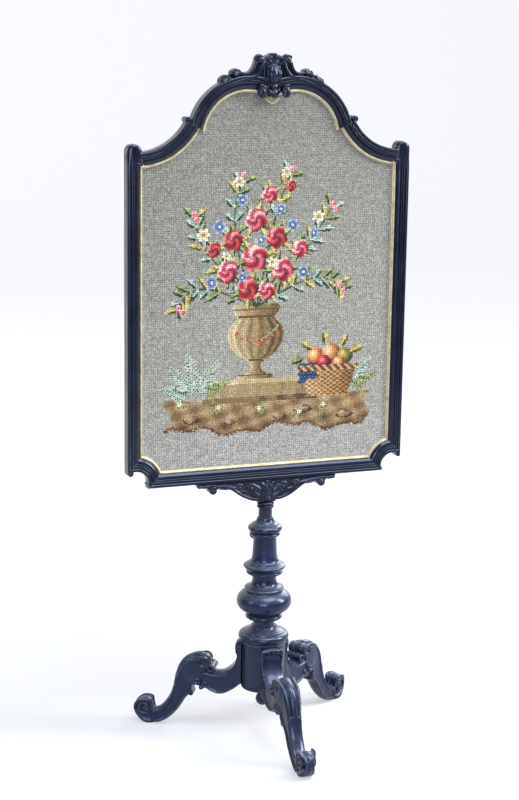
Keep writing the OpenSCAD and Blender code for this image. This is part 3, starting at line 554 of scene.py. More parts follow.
def stile_low(u):
    """Where the stile ends below: a round lobe under its outer reed, then a slant to the mitre."""
    x = HALF_W - u
    lobe = LOBE_C[1] - np.sqrt(np.maximum(LOBE_R**2 - (x - LOBE_C[0]) ** 2, 0))
    mitre = stile_foot(np.array([MEMBER_W]))[0]
    near = CORNER_C + [5, CORNER_R - 0.5]
    slant = near[1] + (x - near[0]) * (mitre[1] - near[1]) / (mitre[0] - near[0])
    return np.stack([x, np.where(x > near[0], lobe, slant)], -1)


def stile(hand):
    """A moulded bar with a lobe below. Towards its head the reeds fade into a smooth face, the bar
    widens a little on its inner side, and it closes to a dome as powers of cos t and sin t."""
    k = len(REEDS)
    loop = np.concatenate([REEDS, REEDS_BACK[::-1], REEDS[:1]])
    u, f = loop.T
    back = (np.arange(len(u)) >= k) & (np.arange(len(u)) < 2 * k)
    solid = np.where(back, BACK_F, f)
    s = 2 * u / MEMBER_W - 1
    plain = np.where(back, BACK_F, FACE_F - 0.6 - 4.2 * np.abs(s) ** 3.2)
    low = stile_low(u)

    def row(z, fade, swell):
        x = HALF_W - u - swell * np.clip((s + 1) / 2, 0, 1)
        return np.column_stack([x, np.full(len(u), z), solid * (1 - fade) + plain * fade])

    rows = [np.column_stack([p, g]) for p, g in ((low, solid), (np.maximum(low, [0, 560.0]), solid),
                                                 (np.maximum(low, [0, 560.0]), f))]
    rows += [np.column_stack([HALF_W - u, np.full(len(u), z), f]) for z in (700.0, 1085.0)]
    for t in np.linspace(0, 1, 9):
        ease = t * t * (3 - 2 * t)
        rows.append(row(1085 + 40.2 * t, ease, 3.0 * ease))
    mid = HALF_W - (MEMBER_W + 3.0) / 2
    for t in np.radians(np.linspace(0, 90, 25))[1:]:
        last = row(1125.2, 1.0, 3.0)
        x = mid + (last[:, 0] - mid) * math.cos(t) ** 0.9
        fall = np.where(back, 0, 3.4 * math.sin(t) ** 5)
        rows.append(np.stack([x, last[:, 1] + 14.3 * math.sin(t) ** 0.94, last[:, 2] - fall], -1))
    skin = np.stack(rows)
    cap = np.stack([skin[0, :k], skin[0, 2 * k - 1:k - 1:-1]])
    return stand([grid(skin), grid(cap)], hand)


def rail_stop(u):
    """Where the rail ends: a round toe under its outer reed, then a slant to the mitre."""
    z = RAIL_Z + u
    toe = TOE_C[0] + np.sqrt(np.maximum(TOE_R**2 - (z - TOE_C[1]) ** 2, 0))
    mitre = rail_end(np.array([MEMBER_W]))[0]
    near = CORNER_C + CORNER_R * np.array([math.cos(math.radians(182)), math.sin(math.radians(182))])
    slant = near[0] + (z - near[1]) * (mitre[0] - near[0]) / (mitre[1] - near[1])
    return np.stack([np.where(z < near[1], toe, slant), z], -1)


def frame_pieces():
    def left_stop(u): return rail_stop(u) * [-1, 1]
    rail = moulding(REEDS, REEDS_BACK, left_stop, rail_stop, straight, 40)
    piece("bottom_rail_moulded", mesh_of("bottom_rail_moulded", stand(rail)), "screen", WOOD_ACROSS,
          "bottom_rail")

    def left_end(u): return rail_end(u) * [-1, 1]
    slip = moulding(SLIP, SLIP_BACK, left_end, rail_end, straight, 40)
    piece("gilt_slip_rail", mesh_of("gilt_slip_rail", stand(slip)), "screen", GILT, "slip_rail")
    for side, hand in (("left", -1), ("right", 1)):
        piece(f"stile_{side}_moulded", mesh_of(f"stile_{side}", stile(hand)), "screen", WOOD_UP,
              f"stile_{side}")
        lengths = {
            "corner": (rail_end, stile_foot, about(CORNER_C), 30),
            "sweep": (stile_head, sweep_end, about(SWEEP_C), 60),
            "arch": (arch_foot, arch_top, about(ARCH_C), 80),
        }
        for part, (start, end, way, n) in lengths.items():
            forms = moulding(REEDS, REEDS_BACK, sweep_butt if part == "sweep" else start, end, way, n)
            if part == "sweep":
                forms += sweep_ends()
            piece(f"{part}_{side}_moulded", mesh_of(f"{part}_{side}", stand(forms, hand)), "screen",
                  WOOD_CARVED, f"{part}_{side}")
            forms = moulding(SLIP, SLIP_BACK, start, end, way, n)
            if part == "sweep":
                forms += slip_curls()
            piece(f"gilt_slip_{part}_{side}", mesh_of(f"gilt_slip_{part}_{side}", stand(forms, hand)),
                  "screen", GILT, f"slip_{part}_{side}")
        forms = moulding(SLIP, SLIP_BACK, stile_foot, stile_head, straight, 40)
        piece(f"gilt_slip_stile_{side}", mesh_of(f"gilt_slip_stile_{side}", stand(forms, hand)), "screen",
              GILT, f"slip_stile_{side}")


def sweep_ends():
    """The knob that ends the outer reed at the kink, and the curl with a dark eye beside the stile."""
    x, z = KNOB_C
    knob = revolve(np.concatenate([[[0, BACK_F + 1], [5.9, BACK_F + 1]],
                                   arc([3.9, FACE_F - 2.4], 2, 0, 90, 5), [[2.8, FACE_F - 1.6]],
                                   oval([0, FACE_F - 2.4], 2.4, 2.2, 0, 90, 5)]), (x, z, 0), steps=40)
    curl = rope(spiral((250.6, 1109.0), 5.6, 2.6, 1.0, 60, -1, 34), np.linspace(2.3, 1.4, 34), 8.4)
    hem = rope(smooth([[243.5, 1117.5], [246.5, 1113.5], [248.6, 1106.5], [247.2, 1101.0]], 6), 1.5, 7.0)
    return [knob, curl, hem]


def slip_curls():
    """A gilt pearl where the sweep meets the arch, and a gilt curl beside the stile."""
    pearl = ball((138.2, 1172.5, 5.2), 3.0, 3.0, 2.8, n=14)
    curl = rope(spiral((244.6, 1102.0), 5.0, 1.2, 1.0, 120, -1, 26), np.linspace(1.5, 1.0, 26), 5.6)
    return [pearl, curl]


# Turned work: the profiles as (radius, height)

BORE = 13.05


def turned(name, profile, body, replaces, steps=128):
    p = np.concatenate([np.atleast_2d(q) for q in profile])
    p = np.concatenate([p, p[:1]]) if p[0, 0] > 0 or p[-1, 0] > 0 else p
    mesh = mesh_of(name, [revolve(p, (0, AXIS_Y, 0), steps=steps)])
    return piece(name, mesh, body, WOOD_ROD if body == "post" else WOOD_BASE, replaces, sharp=32)


def turned_column():
    turned("hub_block_turned", [
        [[0, 92], [40.2, 92]], arc([39.75, 95], 3, -60, 0, 6),
        [[42.75, 183.4], [43.4, 184.2], [43.7, 185], [43.7, 188.6]],
        oval([40, 197], 8.5, 8, -72, 82, 30), [[40.6, 205.2], [39.9, 207.0]],
        smooth([[38.6, 207.4], [34.6, 209.2], [30, 211.4], [26.4, 214.2], [24.2, 217]], 5),
        [[17, 217], [17, 227], [BORE, 227], [BORE, 150], [0, 150]]], "base", "hub_block")
    turned("hub_drop_turned", [
        arc([0, 66.4], 13.5, -90, 58, 24), oval([9, 83.5], 3.4, 2.2, -80, 80, 10),
        [[9.5, 86.4], [12.5, 88.5], [13.5, 91.9], [8, 91.9], [8, 112], [0, 112]]], "base", "hub_drop")
    turned("bulb_section_turned", [
        [[17.05, 217], [21.6, 217]], smooth([[21.4, 217.2], [20.9, 220], [20.9, 224], [21.8, 229]], 5),
        smooth([[22.6, 229.8], [27.0, 231.0]], 2), oval([29.5, 236.4], 6.0, 4.6, -78, 84, 22),
        [[28.6, 241.2], [28.4, 243.0]], smooth([[31, 243.4], [34, 244.2], [37, 245.8]], 4),
        oval([26, 267], 27, 22.5, -64, 66, 44), [[36.6, 288.6], [37.4, 289.2], [38.0, 290.4], [38.0, 293.4],
                                                 [37.2, 294.3], [34.4, 294.8], [34.2, 296.0]],
        smooth([[33.0, 296.2], [28.4, 298.8], [25.2, 302.6], [23.6, 307.6], [22.9, 314], [22.8, 318],
                [23.4, 321.9]], 6),
        [[17, 322], [17, 332], [BORE, 332], [BORE, 227.2], [17.05, 227.2]]], "base", "bulb_section")
    turned("drum_section_turned", [
        [[17.05, 322], [33.5, 322]], arc([32.5, 325], 2.8, -62, 70, 12), [[33.0, 328.2], [33.0, 329.2]],
        smooth([[34.4, 329.6], [37.0, 331.6], [38.8, 334.2]], 5), arc([38, 337], 2.5, -40, 82, 12),
        [[36.4, 340.2], [34.4, 341.2], [33.6, 342.0], [31.4, 342.8], [30.8, 344.6]],
        smooth([[29.8, 345.0], [27.4, 346.8], [25.6, 350.2], [24.6, 355], [23.6, 362], [22.6, 380],
                [21.7, 398]], 6),
        [[17, 398], [17, 406], [BORE, 406], [BORE, 332.2], [17.05, 332.2]]], "base", "drum_section")
    turned("column_cap_turned", [
        [[17.05, 398], [28, 398]], arc([26.8, 401.0], 2.7, -52, 78, 12), [[26.6, 404.6]],
        oval([23.75, 411.6], 9, 7.0, -60, 74, 26), [[26.0, 418.6], [25.8, 420.2], [24.2, 420.8]],
        smooth([[23.4, 421.0], [19.8, 423.4], [17.4, 426.4], [16.1, 429.4], [15.6, 432]], 6),
        [[BORE, 432], [BORE, 406.2], [17.05, 406.2]]], "base", "column_cap")
    turned("rod_turned", [
        [[0, 172], [12, 172], [13, 173], [13, 451], [7, 451], [7, 502], [0, 502]]], "post", "rod")
    turned("rod_collar_turned", [
        [[7.02, 451.1], [13.6, 451.1]], oval([12.8, 454.3], 3.7, 3.1, -72, 74, 14),
        oval([12.8, 460.3], 3.7, 3.1, -74, 72, 14), [[13.6, 463.6], [7.02, 463.6]]], "post", "rod_collar")
    knob = revolve(np.concatenate([[[0, 44], [6, 44]], oval([5.2, 46], 1.8, 1.6, -62, 62, 10),
                                   oval([4, 54.4], 7.6, 5.8, -62, 90, 26), [[0, 60.2]]]),
                   (0, AXIS_Y, 385), (0, 1, 0), 72)
    piece("clamp_knob_turned", mesh_of("clamp_knob_turned", [knob]), "clamp_grip", WOOD_BASE,
          "clamp_knob")


# The scroll legs, in (reach, across, height)

# Each pair holds a point of the upper line, its partner below, and half the width there
ROOT = [(40, 183, 40, 97, 22.2), (47, 183.4, 43, 94.6, 22.2), (52, 181.5, 46, 92, 22.2),
        (51, 175.5, 49, 89.5, 22.0), (47.8, 171, 52, 87, 21.8), (46.6, 163, 56, 84, 21.4),
        (48.2, 154, 61, 81, 20.9), (51.7, 145, 65.5, 78, 20.3), (57, 136.5, 70, 75.6, 19.8),
        (64, 129, 75, 73.4, 19.3), (72, 122.5, 84, 71.6, 18.9), (80, 119, 93, 72.8, 18.5),
        (88, 118, 103, 76.6, 18.5), (95, 119, 111.5, 81.4, 18.6), (103, 121, 117.4, 79.5, 18.7),
        (110, 122, 121.6, 80.8, 18.8), (116, 122, 124, 88, 18.8)]
SHANK = [(110, 130, 113, 120, 19.6), (106.8, 135, 116, 106, 20.4), (109, 140.5, 119, 96, 20.7),
         (114, 146.2, 121.5, 89.5, 20.7), (121, 149.2, 125, 86, 20.6), (130, 148.6, 129.5, 87.5, 20.2),
         (140, 146, 134.0, 86.5, 19.6), (150, 140.5, 136.8, 82.5, 18.6), (158, 132.5, 135.8, 77.5, 17.3),
         (164.6, 122, 137.0, 71.5, 16.1), (168.8, 111, 141, 66.2, 15.1), (171.6, 101, 146.5, 61.6, 14.3),
         (174.8, 89, 151, 57, 13.8), (178.8, 75, 155.8, 49.6, 13.5), (183, 63.5, 162.3, 38.5, 13.2),
         (190.5, 50.5, 170.5, 27, 13.0), (199, 39.5, 180.5, 16.5, 12.9), (206.5, 33.3, 191, 8, 13.0),
         (213, 31.2, 202, 2.4, 13.3), (217, 30.5, 208, 0.8, 13.7), (219.5, 29, 212, 0.2, 14.2)]
FOOT = [[213.5, 8], [214, 24], [217.2, 33.0], [218.4, 40], [220.6, 45.8], [225, 49.4], [231.5, 51.2],
        [240, 50.2], [248, 46], [254, 38.6], [256, 30], [254.3, 21.4], [249.3, 13.4], [242, 6.2], [233, 1.2],
        [224, 0], [215, 1.5], [213.5, 8]]
FOOT_EYE = np.array([232.5, 33.0])


def limb(pairs, crown, panel=None, belly=4.0):
    """A carved limb: stations between an upper and a lower line. Across the top it is arched, as
    1 - a squared, and a panel adds reeds; each flat side has a raised rim round a sunk face."""
    q = smooth(pairs, 9)
    top, low, half = q[:, None, :2], q[:, None, 2:4], q[:, None, 4:5]
    span = np.linalg.norm(top - low, axis=-1, keepdims=True)
    up = (top - low) / span
    a = np.concatenate([np.linspace(-1, 1, 61), np.ones(41), np.linspace(1, -1, 31), -np.ones(41)])
    b = np.concatenate([np.ones(61), np.linspace(1, -1, 43)[1:-1], -np.ones(31), np.linspace(-1, 1, 43)[1:-1]])
    a, b = np.append(a, a[0])[None, :, None], np.append(b, b[0])[None, :, None]
    s = np.linspace(0, 1, len(q))[:, None, None]
    y = a * half
    side = np.abs(b) < 0.99
    arch = np.where(b > 0.99, -crown * a**2 + (panel(s, y, half) if panel else 0), 0)
    arch = np.where(b < -0.99, belly * a**2, arch)
    depth = (1 - np.abs(b)) * span / 2
    sunk = 2.7 * np.clip((depth - 4.2) / 1.2, 0, 1) - 0.5 * np.clip(1 - ((depth - 2.0) / 2.2) ** 2, 0, 1)
    y = y - np.sign(a) * sunk * side
    # The sides run from the ends of the top's arch to the ends of the belly's
    lift = np.where(side, -crown * (1 + b) / 2 + belly * (1 - b) / 2, 0)
    p = (top + low) / 2 + (top - low) / 2 * b + up * (arch + lift)
    skin = np.stack([p[..., 0], y[..., 0] + 0 * p[..., 0], p[..., 1]], -1)
    ends = [np.broadcast_to(skin[k].mean(0), (1, *skin.shape[1:])) for k in (0, -1)]
    return grid(np.concatenate([ends[0], skin, ends[1]]))


def knee_reeds(s, y, half):
    """A half-round reed along the middle of the knee, between grooves and raised rims, which end in
    an arc part of the way down."""
    stop = 0.60 - 0.025 * (1 - (y / half) ** 2)
    on = np.clip((stop - s) / 0.012, 0, 1) * np.clip((s - 0.02) / 0.03, 0, 1)
    reed = np.sqrt(np.clip(1 - (y / (0.44 * half)) ** 2, 0, 1)) * 5.2 - 2.6
    rim = np.clip(1 - ((np.abs(y) - 0.76 * half) / (0.2 * half)) ** 2, 0, 1) * 4.4
    hem = np.exp(-((s - stop) / 0.007) ** 2) * 1.7
    plain = np.exp(-((np.abs(y) - (half - 1.9)) / 1.2) ** 2) * 1.3
    return on * (reed + rim) + hem + (1 - on) * plain


def across(c, profile, steps=64):
    """A form turned about a level line across the leg: radius over the distance along y."""
    return revolve(profile, (c[0], 0, c[1]), (0, 1, 0), steps)


def foot_half(reach):
    return np.interp(reach, [213, 220, 228, 236, 241, 245, 249, 253, 256],
                     [13.8, 15.8, 17.2, 17.2, 16.0, 14.2, 12.2, 9.8, 7.6])


def foot_volute():
    """The foot's roll: its side outline carried across, its outside ridged as a middle bead and two
    rims between hollows, ridge(a) w(height); w fades towards the floor. Each side is a dished
    spiral round an eye."""
    ring = smooth(FOOT, 8)
    d = np.gradient(ring, axis=0)
    d[0] = d[-1] = d[1] + d[-2]
    d /= np.linalg.norm(d, axis=1)[:, None]
    out = np.stack([-d[:, 1], d[:, 0]], -1)
    low = np.clip(ring[:, 1] / 25, 0, 1)
    half = foot_half(ring[:, 0]) * (0.84 + 0.16 * low)
    a = np.linspace(-1, 1, 71)[:, None]
    w = np.clip((ring[:, 1] - 9) / 22, 0, 1) ** 0.8
    bead = 1.7 * np.clip(1 - (a / 0.36) ** 2, 0, 1) ** 0.6
    rims = 2.6 * np.exp(-((np.abs(a) - 0.90) / 0.12) ** 2)
    ridge = (bead + rims - 2.0) * w - 2.6 * (1 - w) * np.abs(a) ** 5
    horn = 3.2 * np.exp(-((np.abs(a) - 0.93) / 0.12) ** 2) * np.exp(-(((ring - [221, 50]) ** 2).sum(1)) / 30)
    p = ring + out * (ridge + horn)[..., None]
    body = np.stack([p[..., 0], a * half, np.maximum(p[..., 1], 0.0)], -1)
    sides = [grid(body)]
    for k, sign in ((0, -1), (-1, 1)):
        rows = []
        for share, dip in ((1, 0), (0.90, 0.5), (0.80, -0.6), (0.74, -3.2), (0.4, -3.4), (0.0, -2.6)):
            c = np.array([FOOT_EYE[0], 0, FOOT_EYE[1]])
            edge = body[k] * [1, 0, 1]
            depth = np.abs(body[k][:, 1]) * share + (1 - share) * 14.0 + dip
            rows.append(c + (edge - c) * share + np.stack([0 * depth, sign * depth, 0 * depth], -1))
        sides.append(grid(np.stack(rows)))
        line = spiral(FOOT_EYE, 13.0, 3.4, 1.35, -115, 1, 80)
        sides.append(tube(np.column_stack([line[:, 0], np.full(80, sign * 13.2), line[:, 1]]),
                          np.linspace(2.5, 1.5, 80), flat=(0, 1, 0)))
        sides.append(ball((*FOOT_EYE[:1], sign * 12.6, FOOT_EYE[1]), 3.7, 3.0, 3.7, n=14))
    return sides


def leg_forms():
    forms = [limb(ROOT, 7.5), limb(SHANK, 4.6, knee_reeds)]
    # The hood of the knee curls over into a thick roll, with a smaller hollow roll below it
    hood = [[0, -17.0], [4.4, -17.2], [6.8, -20.8], [10.2, -21.4], [12.2, -19.4], [12.6, -16.4], [10.8, -13.2],
            [10.2, -10.8], [11.9, -8.0], [12.9, -4.0], [13.1, 0]]
    under = [[0, -12.5], [2.6, -12.8], [3.6, -18.8], [6.6, -19.6], [7.8, -17.8], [7.2, -13], [7.4, -6], [7.8, 0]]
    for c, form in (((114.6, 136.6), hood), ((99.4, 124.6), under)):
        forms.append(across(c, np.array(form + [[r, -y] for r, y in form[-2::-1]], float)))
    forms.append(across((119.4, 84.2), [[0, -17], [4.2, -17], [4.8, -12], [4.8, 12], [4.2, 17], [0, 17]], 32))
    forms.append(across((139.8, 69.4), [[0, -15], [4.0, -15], [4.6, -11], [4.6, 11], [4.0, 15], [0, 15]], 32))
    # Scallops of the lip under the torus
    forms += [ball((48.6, y, 177.2), 3.6, 5.6, 5.2, n=14) for y in (-17.2, -8.6, 0, 8.6, 17.2)]
    # The rim of each side runs on as a volute in the knee and beside the notch
    for sign in (-1, 1):
        for c, r, start, hand, y, thick in (((119.0, 131.5), 8.6, 120, 1, 18.6, 1.3),
                                            ((129.0, 97.0), 6.0, -90, -1, 18.4, 1.7),
                                            ((111.5, 92.0), 4.8, -60, 1, 18.0, 1.7)):
            k = spiral(c, r, 2.2, 0.95, start, hand, 50)
            forms.append(tube(np.column_stack([k[:, 0], np.full(50, sign * y), k[:, 1]]),
                              np.linspace(thick, 0.8 * thick, 50), flat=(0, 1, 0)))
    return forms + foot_volute()


def legs():
    leg = carved("scroll_leg", leg_forms(), 0.9, 2)
    # The lowest millimetre is planed flat, so that the foot stands on the floor
    b = bmesh.new()
    b.from_mesh(leg)
    for v in b.verts:
        v.co.z = max(v.co.z, 0.0)
    b.to_mesh(leg)
    b.free()
    for side, angle in (("front", -90), ("right", 30), ("left", 150)):
        place = Matrix.Translation((0, AXIS_Y * MM, 0)) @ Matrix.Rotation(math.radians(angle), 4, "Z")
        piece(f"scroll_leg_{side}", moved(leg, f"scroll_leg_{side}", place), "base", WOOD_BASE,
              f"leg_{side}", sharp=0)


# The carved crest and bracket, on the bench as (x, z, f)

def rope(path, radius, f, n=None):
    """A ridge along a flat path at height f."""
    p = np.asarray(path, float)
    return tube(np.column_stack([p, np.broadcast_to(f, len(p))]), radius)


def crest():
    rise = [[62, 1266.6], [55, 1265.6], [49, 1265.8], [43.5, 1268.6], [39, 1273.6], [36.2, 1279.6], [34.4, 1286]]
    arm = smooth([[108, 1236], [98, 1246.5], [87, 1252], [78.5, 1256], [70, 1262.4], *rise, [33, 1291], [20, 1293],
                  [0, 1295]], 5)
    shoulder = arc(ARCH_C, ARCH_R - 1.5, 55, 112, 30)
    shoulder = shoulder[shoulder[:, 0] > 3]
    forms = [plate(np.concatenate([arm, shoulder[::-1]]), -9, 6.6, 1.5)]
    # The arm's edge is a bead that climbs in a hollow curve to the volute
    bead = smooth(rise, 8) + [-1.0, -2.9]
    forms.append(rope(bead, np.linspace(2.6, 3.3, len(bead)), np.linspace(8.2, 9.6, len(bead))))
    # A broad ridge leaves the moulding's reeds, passes over the arch and climbs beside the boss
    ridge = smooth([[112, 1219], [99, 1233.6], [76.5, 1245.2], [59, 1251.4], [44, 1255.2], [32.5, 1260],
                    [25.6, 1268], [21.8, 1277], [20.0, 1285]], 8)
    forms.append(rope(ridge, np.interp(np.linspace(0, 1, len(ridge)), [0, 0.3, 0.7, 1], [0.8, 2.6, 3.8, 3.0]),
                      np.interp(np.linspace(0, 1, len(ridge)), [0, 0.4, 1], [9.0, 9.4, 10.6])))
    # Two leaf rolls lie on the arch, each a full round with a hollow and a lip
    for x, z, rx, rz, tilt in ((89.6, 1250.0, 12.4, 10.4, -30), (69.2, 1262.0, 11.6, 9.9, -14)):
        a = math.radians(tilt)
        turn = np.array([[math.cos(a), -math.sin(a)], [math.sin(a), math.cos(a)]])
        for dx, dz, wx, wz, high in ((0, 0, rx, rz, 12.2), (0.42 * rx, 0.05 * rz, 0.56 * rx, 0.86 * rz, 14.6),
                                     (-0.5 * rx, 0.1 * rz, 0.5 * rx, 0.7 * rz, 13.4)):
            lump, faces = ball((0, 0, 0), wx, wz, high + 9, n=30)
            flat = lump[:, :2] @ turn.T + np.array([x, z]) + turn @ [dx, dz]
            forms.append((np.column_stack([flat, np.maximum(lump[:, 2] - 9, -10)]), faces))
    # Volutes at the top, full and round
    forms.append(ball((26.4, 1288.4, 2.5), 9.8, 9.4, 13.2, n=30))
    forms.append(rope(spiral((26.6, 1288.2), 7.4, 2.6, 0.9, 20, 1), np.linspace(2.4, 1.6, 60), 12.0))
    forms.append(ball((26.8, 1288.2, 13.2), 3.2, 3.2, 2.8, n=12))
    # Lower scrolls beside the hollow under the boss: full commas with a bright lip
    forms.append(ball((23.6, 1231.4, 11.6), 7.6, 11.4, 8.0, n=30))
    forms.append(rope(smooth([[28, 1242.4], [22.0, 1241.8], [17.8, 1237.0], [16.8, 1230.0], [18.8, 1224.2],
                              [23.2, 1221.8], [27.2, 1224.4], [27.8, 1229.6], [24.4, 1232.2]], 6),
                      np.linspace(2.3, 1.2, 49), 17.0))
    forms = forms + [(p * [-1, 1, 1], f) for p, f in forms]
    forms.append(plate([[-12, 1284], [12, 1284], [15.5, 1272], [16, 1256], [14.5, 1240], [10, 1222], [-10, 1222],
                        [-14.5, 1240], [-16, 1256], [-15.5, 1272]], -2, 11.0, 4))
    # Shell: ribs fan out and swell towards a scalloped edge
    r = np.linspace(0.06, 1, 30)[:, None]
    t = np.radians(np.linspace(8, 172, 101))[None, :]
    lobes = np.abs(np.cos(3.4 * (t - np.pi / 2)))
    reach = 23.2 * r * (0.955 + 0.045 * lobes)
    f = 4 + 8.6 * np.sin(np.pi * (0.10 + 0.62 * r)) * (0.80 + 0.20 * lobes)
    forms += relief(np.stack([reach * np.cos(t), 1276.6 + reach * np.sin(t), f], -1), -8)
    # Boss: an egg with upright ribs, in a ring
    ribbed = ball((0, 0, 0), 15.2, 15.2, 17.6, 11, 0.10, 48)
    forms.append((np.stack([ribbed[0][:, 0], ribbed[0][:, 2] + 1261.6, 8.6 + ribbed[0][:, 1]], -1), ribbed[1]))
    forms.append(rope(oval([0, 1260.6], 15.6, 19.4, 200, 340, 40), 2.2, 12.6))
    forms.append(ball((0, 1240.0, 12.0), 7.0, 5.4, 6.6, n=18))
    forms += leaf((0, 1219.5), 90, 20, 15, 12.6, 3.6, 3)
    forms += leaf((-3, 1221), 116, 18, 8, 12.6, 2.6, 3) + leaf((3, 1221), 64, 18, 8, 12.6, 2.6, 3)
    mesh = carved("crest_carved", stand(forms), 0.8, 2)
    piece("crest_carved", mesh, "screen", WOOD_CARVED, "crest", sharp=0)
    lip = [rope(smooth([[-13.5, 1219.8], [-8, 1214.0], [0, 1210.4], [8, 1214.0], [13.5, 1219.8]], 8), 1.7, 4.4),
           rope(smooth([[-9, 1219.4], [-4.5, 1217.2], [0, 1214.8], [4.5, 1217.2], [9, 1219.4]], 8), 1.0, 4.8)]
    piece("gilt_lip_under_crest", mesh_of("gilt_lip_under_crest", stand(lip)), "screen", GILT)


def apron():
    edge = smooth([[139.5, 508.4], [139.2, 504.6], [136.6, 501.0], [131.8, 499.8], [126.6, 501.4], [121.4, 500.4],
                   [117.0, 495.6], [114.4, 490.4], [109, 488], [102.8, 490.8], [100.4, 496.4], [95, 498.6], [86, 498],
                   [76, 495.4], [66, 489.8], [56, 482.4], [46, 476], [36, 471.4], [27, 468.6],
                   [18.5, 467.4], [17, 464]], 5)
    whole = np.concatenate([edge, (edge * [-1, 1])[::-1]])
    forms = [plate(whole, -10.5, 9.6, 1.2)]
    half = []
    brim = edge[(edge[:, 0] < 99) & (edge[:, 0] > 19)]
    half.append(rope(brim + [0, 2.8], 2.9, 10.6))
    half.append(roll((109, 495), 7.4, -10.4, 13.6, 1.8))
    half.append(rope(spiral((109, 495), 5.6, 1.6, 1.1, 100, 1), np.linspace(2.1, 1.3, 60), 12.8))
    half.append(ball((109, 495, 13.0), 2.2, 2.2, 2.4, n=12))
    half.append(rope(smooth([[99, 501.6], [112, 504.6], [124, 502.4], [135, 503.6]], 8), 2.5, 10.2))
    half.append(ball((134.6, 503.6, 4), 4.6, 4.4, 9.2, n=16))
    for x, z, a, length, width, rise in ((10, 475, 24, 34, 12, 4.2), (8, 481, 46, 28, 12, 4.6),
                                         (5, 487, 68, 20, 11, 4.6), (62, 500, -6, 34, 8, 3.0)):
        half += leaf((x, z), a, length, width, 8.4, rise)
    half.append(rope(spiral((33, 493.5), 8.6, 2.4, 1.25, 215, -1), np.linspace(2.9, 1.8, 60), 10.6))
    half.append(ball((33, 493.5, 10.5), 3.0, 3.0, 3.6, n=14))
    half.append(rope(spiral((56, 496.5), 6.4, 2.0, 1.15, 20, 1), np.linspace(2.5, 1.5, 60), 10.4))
    half.append(ball((56, 496.5, 10.2), 2.4, 2.4, 3.2, n=14))
    half.append(rope(smooth([[40, 487], [52, 489.6], [64, 496], [76, 500.4], [92, 501.6]], 6), 1.9, 10.2))
    forms += half + [(p * [-1, 1, 1], f) for p, f in half]
    forms += leaf((0, 467), 90, 41, 16, 9.4, 5.0, 5)
    forms.append(ball((0, 471, 10.5), 6.0, 5.0, 4.2, n=18))
    neck = revolve([[0, 463.8], [15.2, 463.8], [16.8, 466], [16.4, 469], [0, 476]], (0, 0, 0), steps=48)
    forms.append((neck[0][:, [0, 2, 1]] * [1, 1, 0.63], neck[1]))
    mesh = carved("apron_carved", stand(forms), 0.85, 2)
    piece("apron_carved", mesh, "screen", WOOD_CARVED, "apron", sharp=0)


# The needlework: a chart of stitches painted with whole-array rules

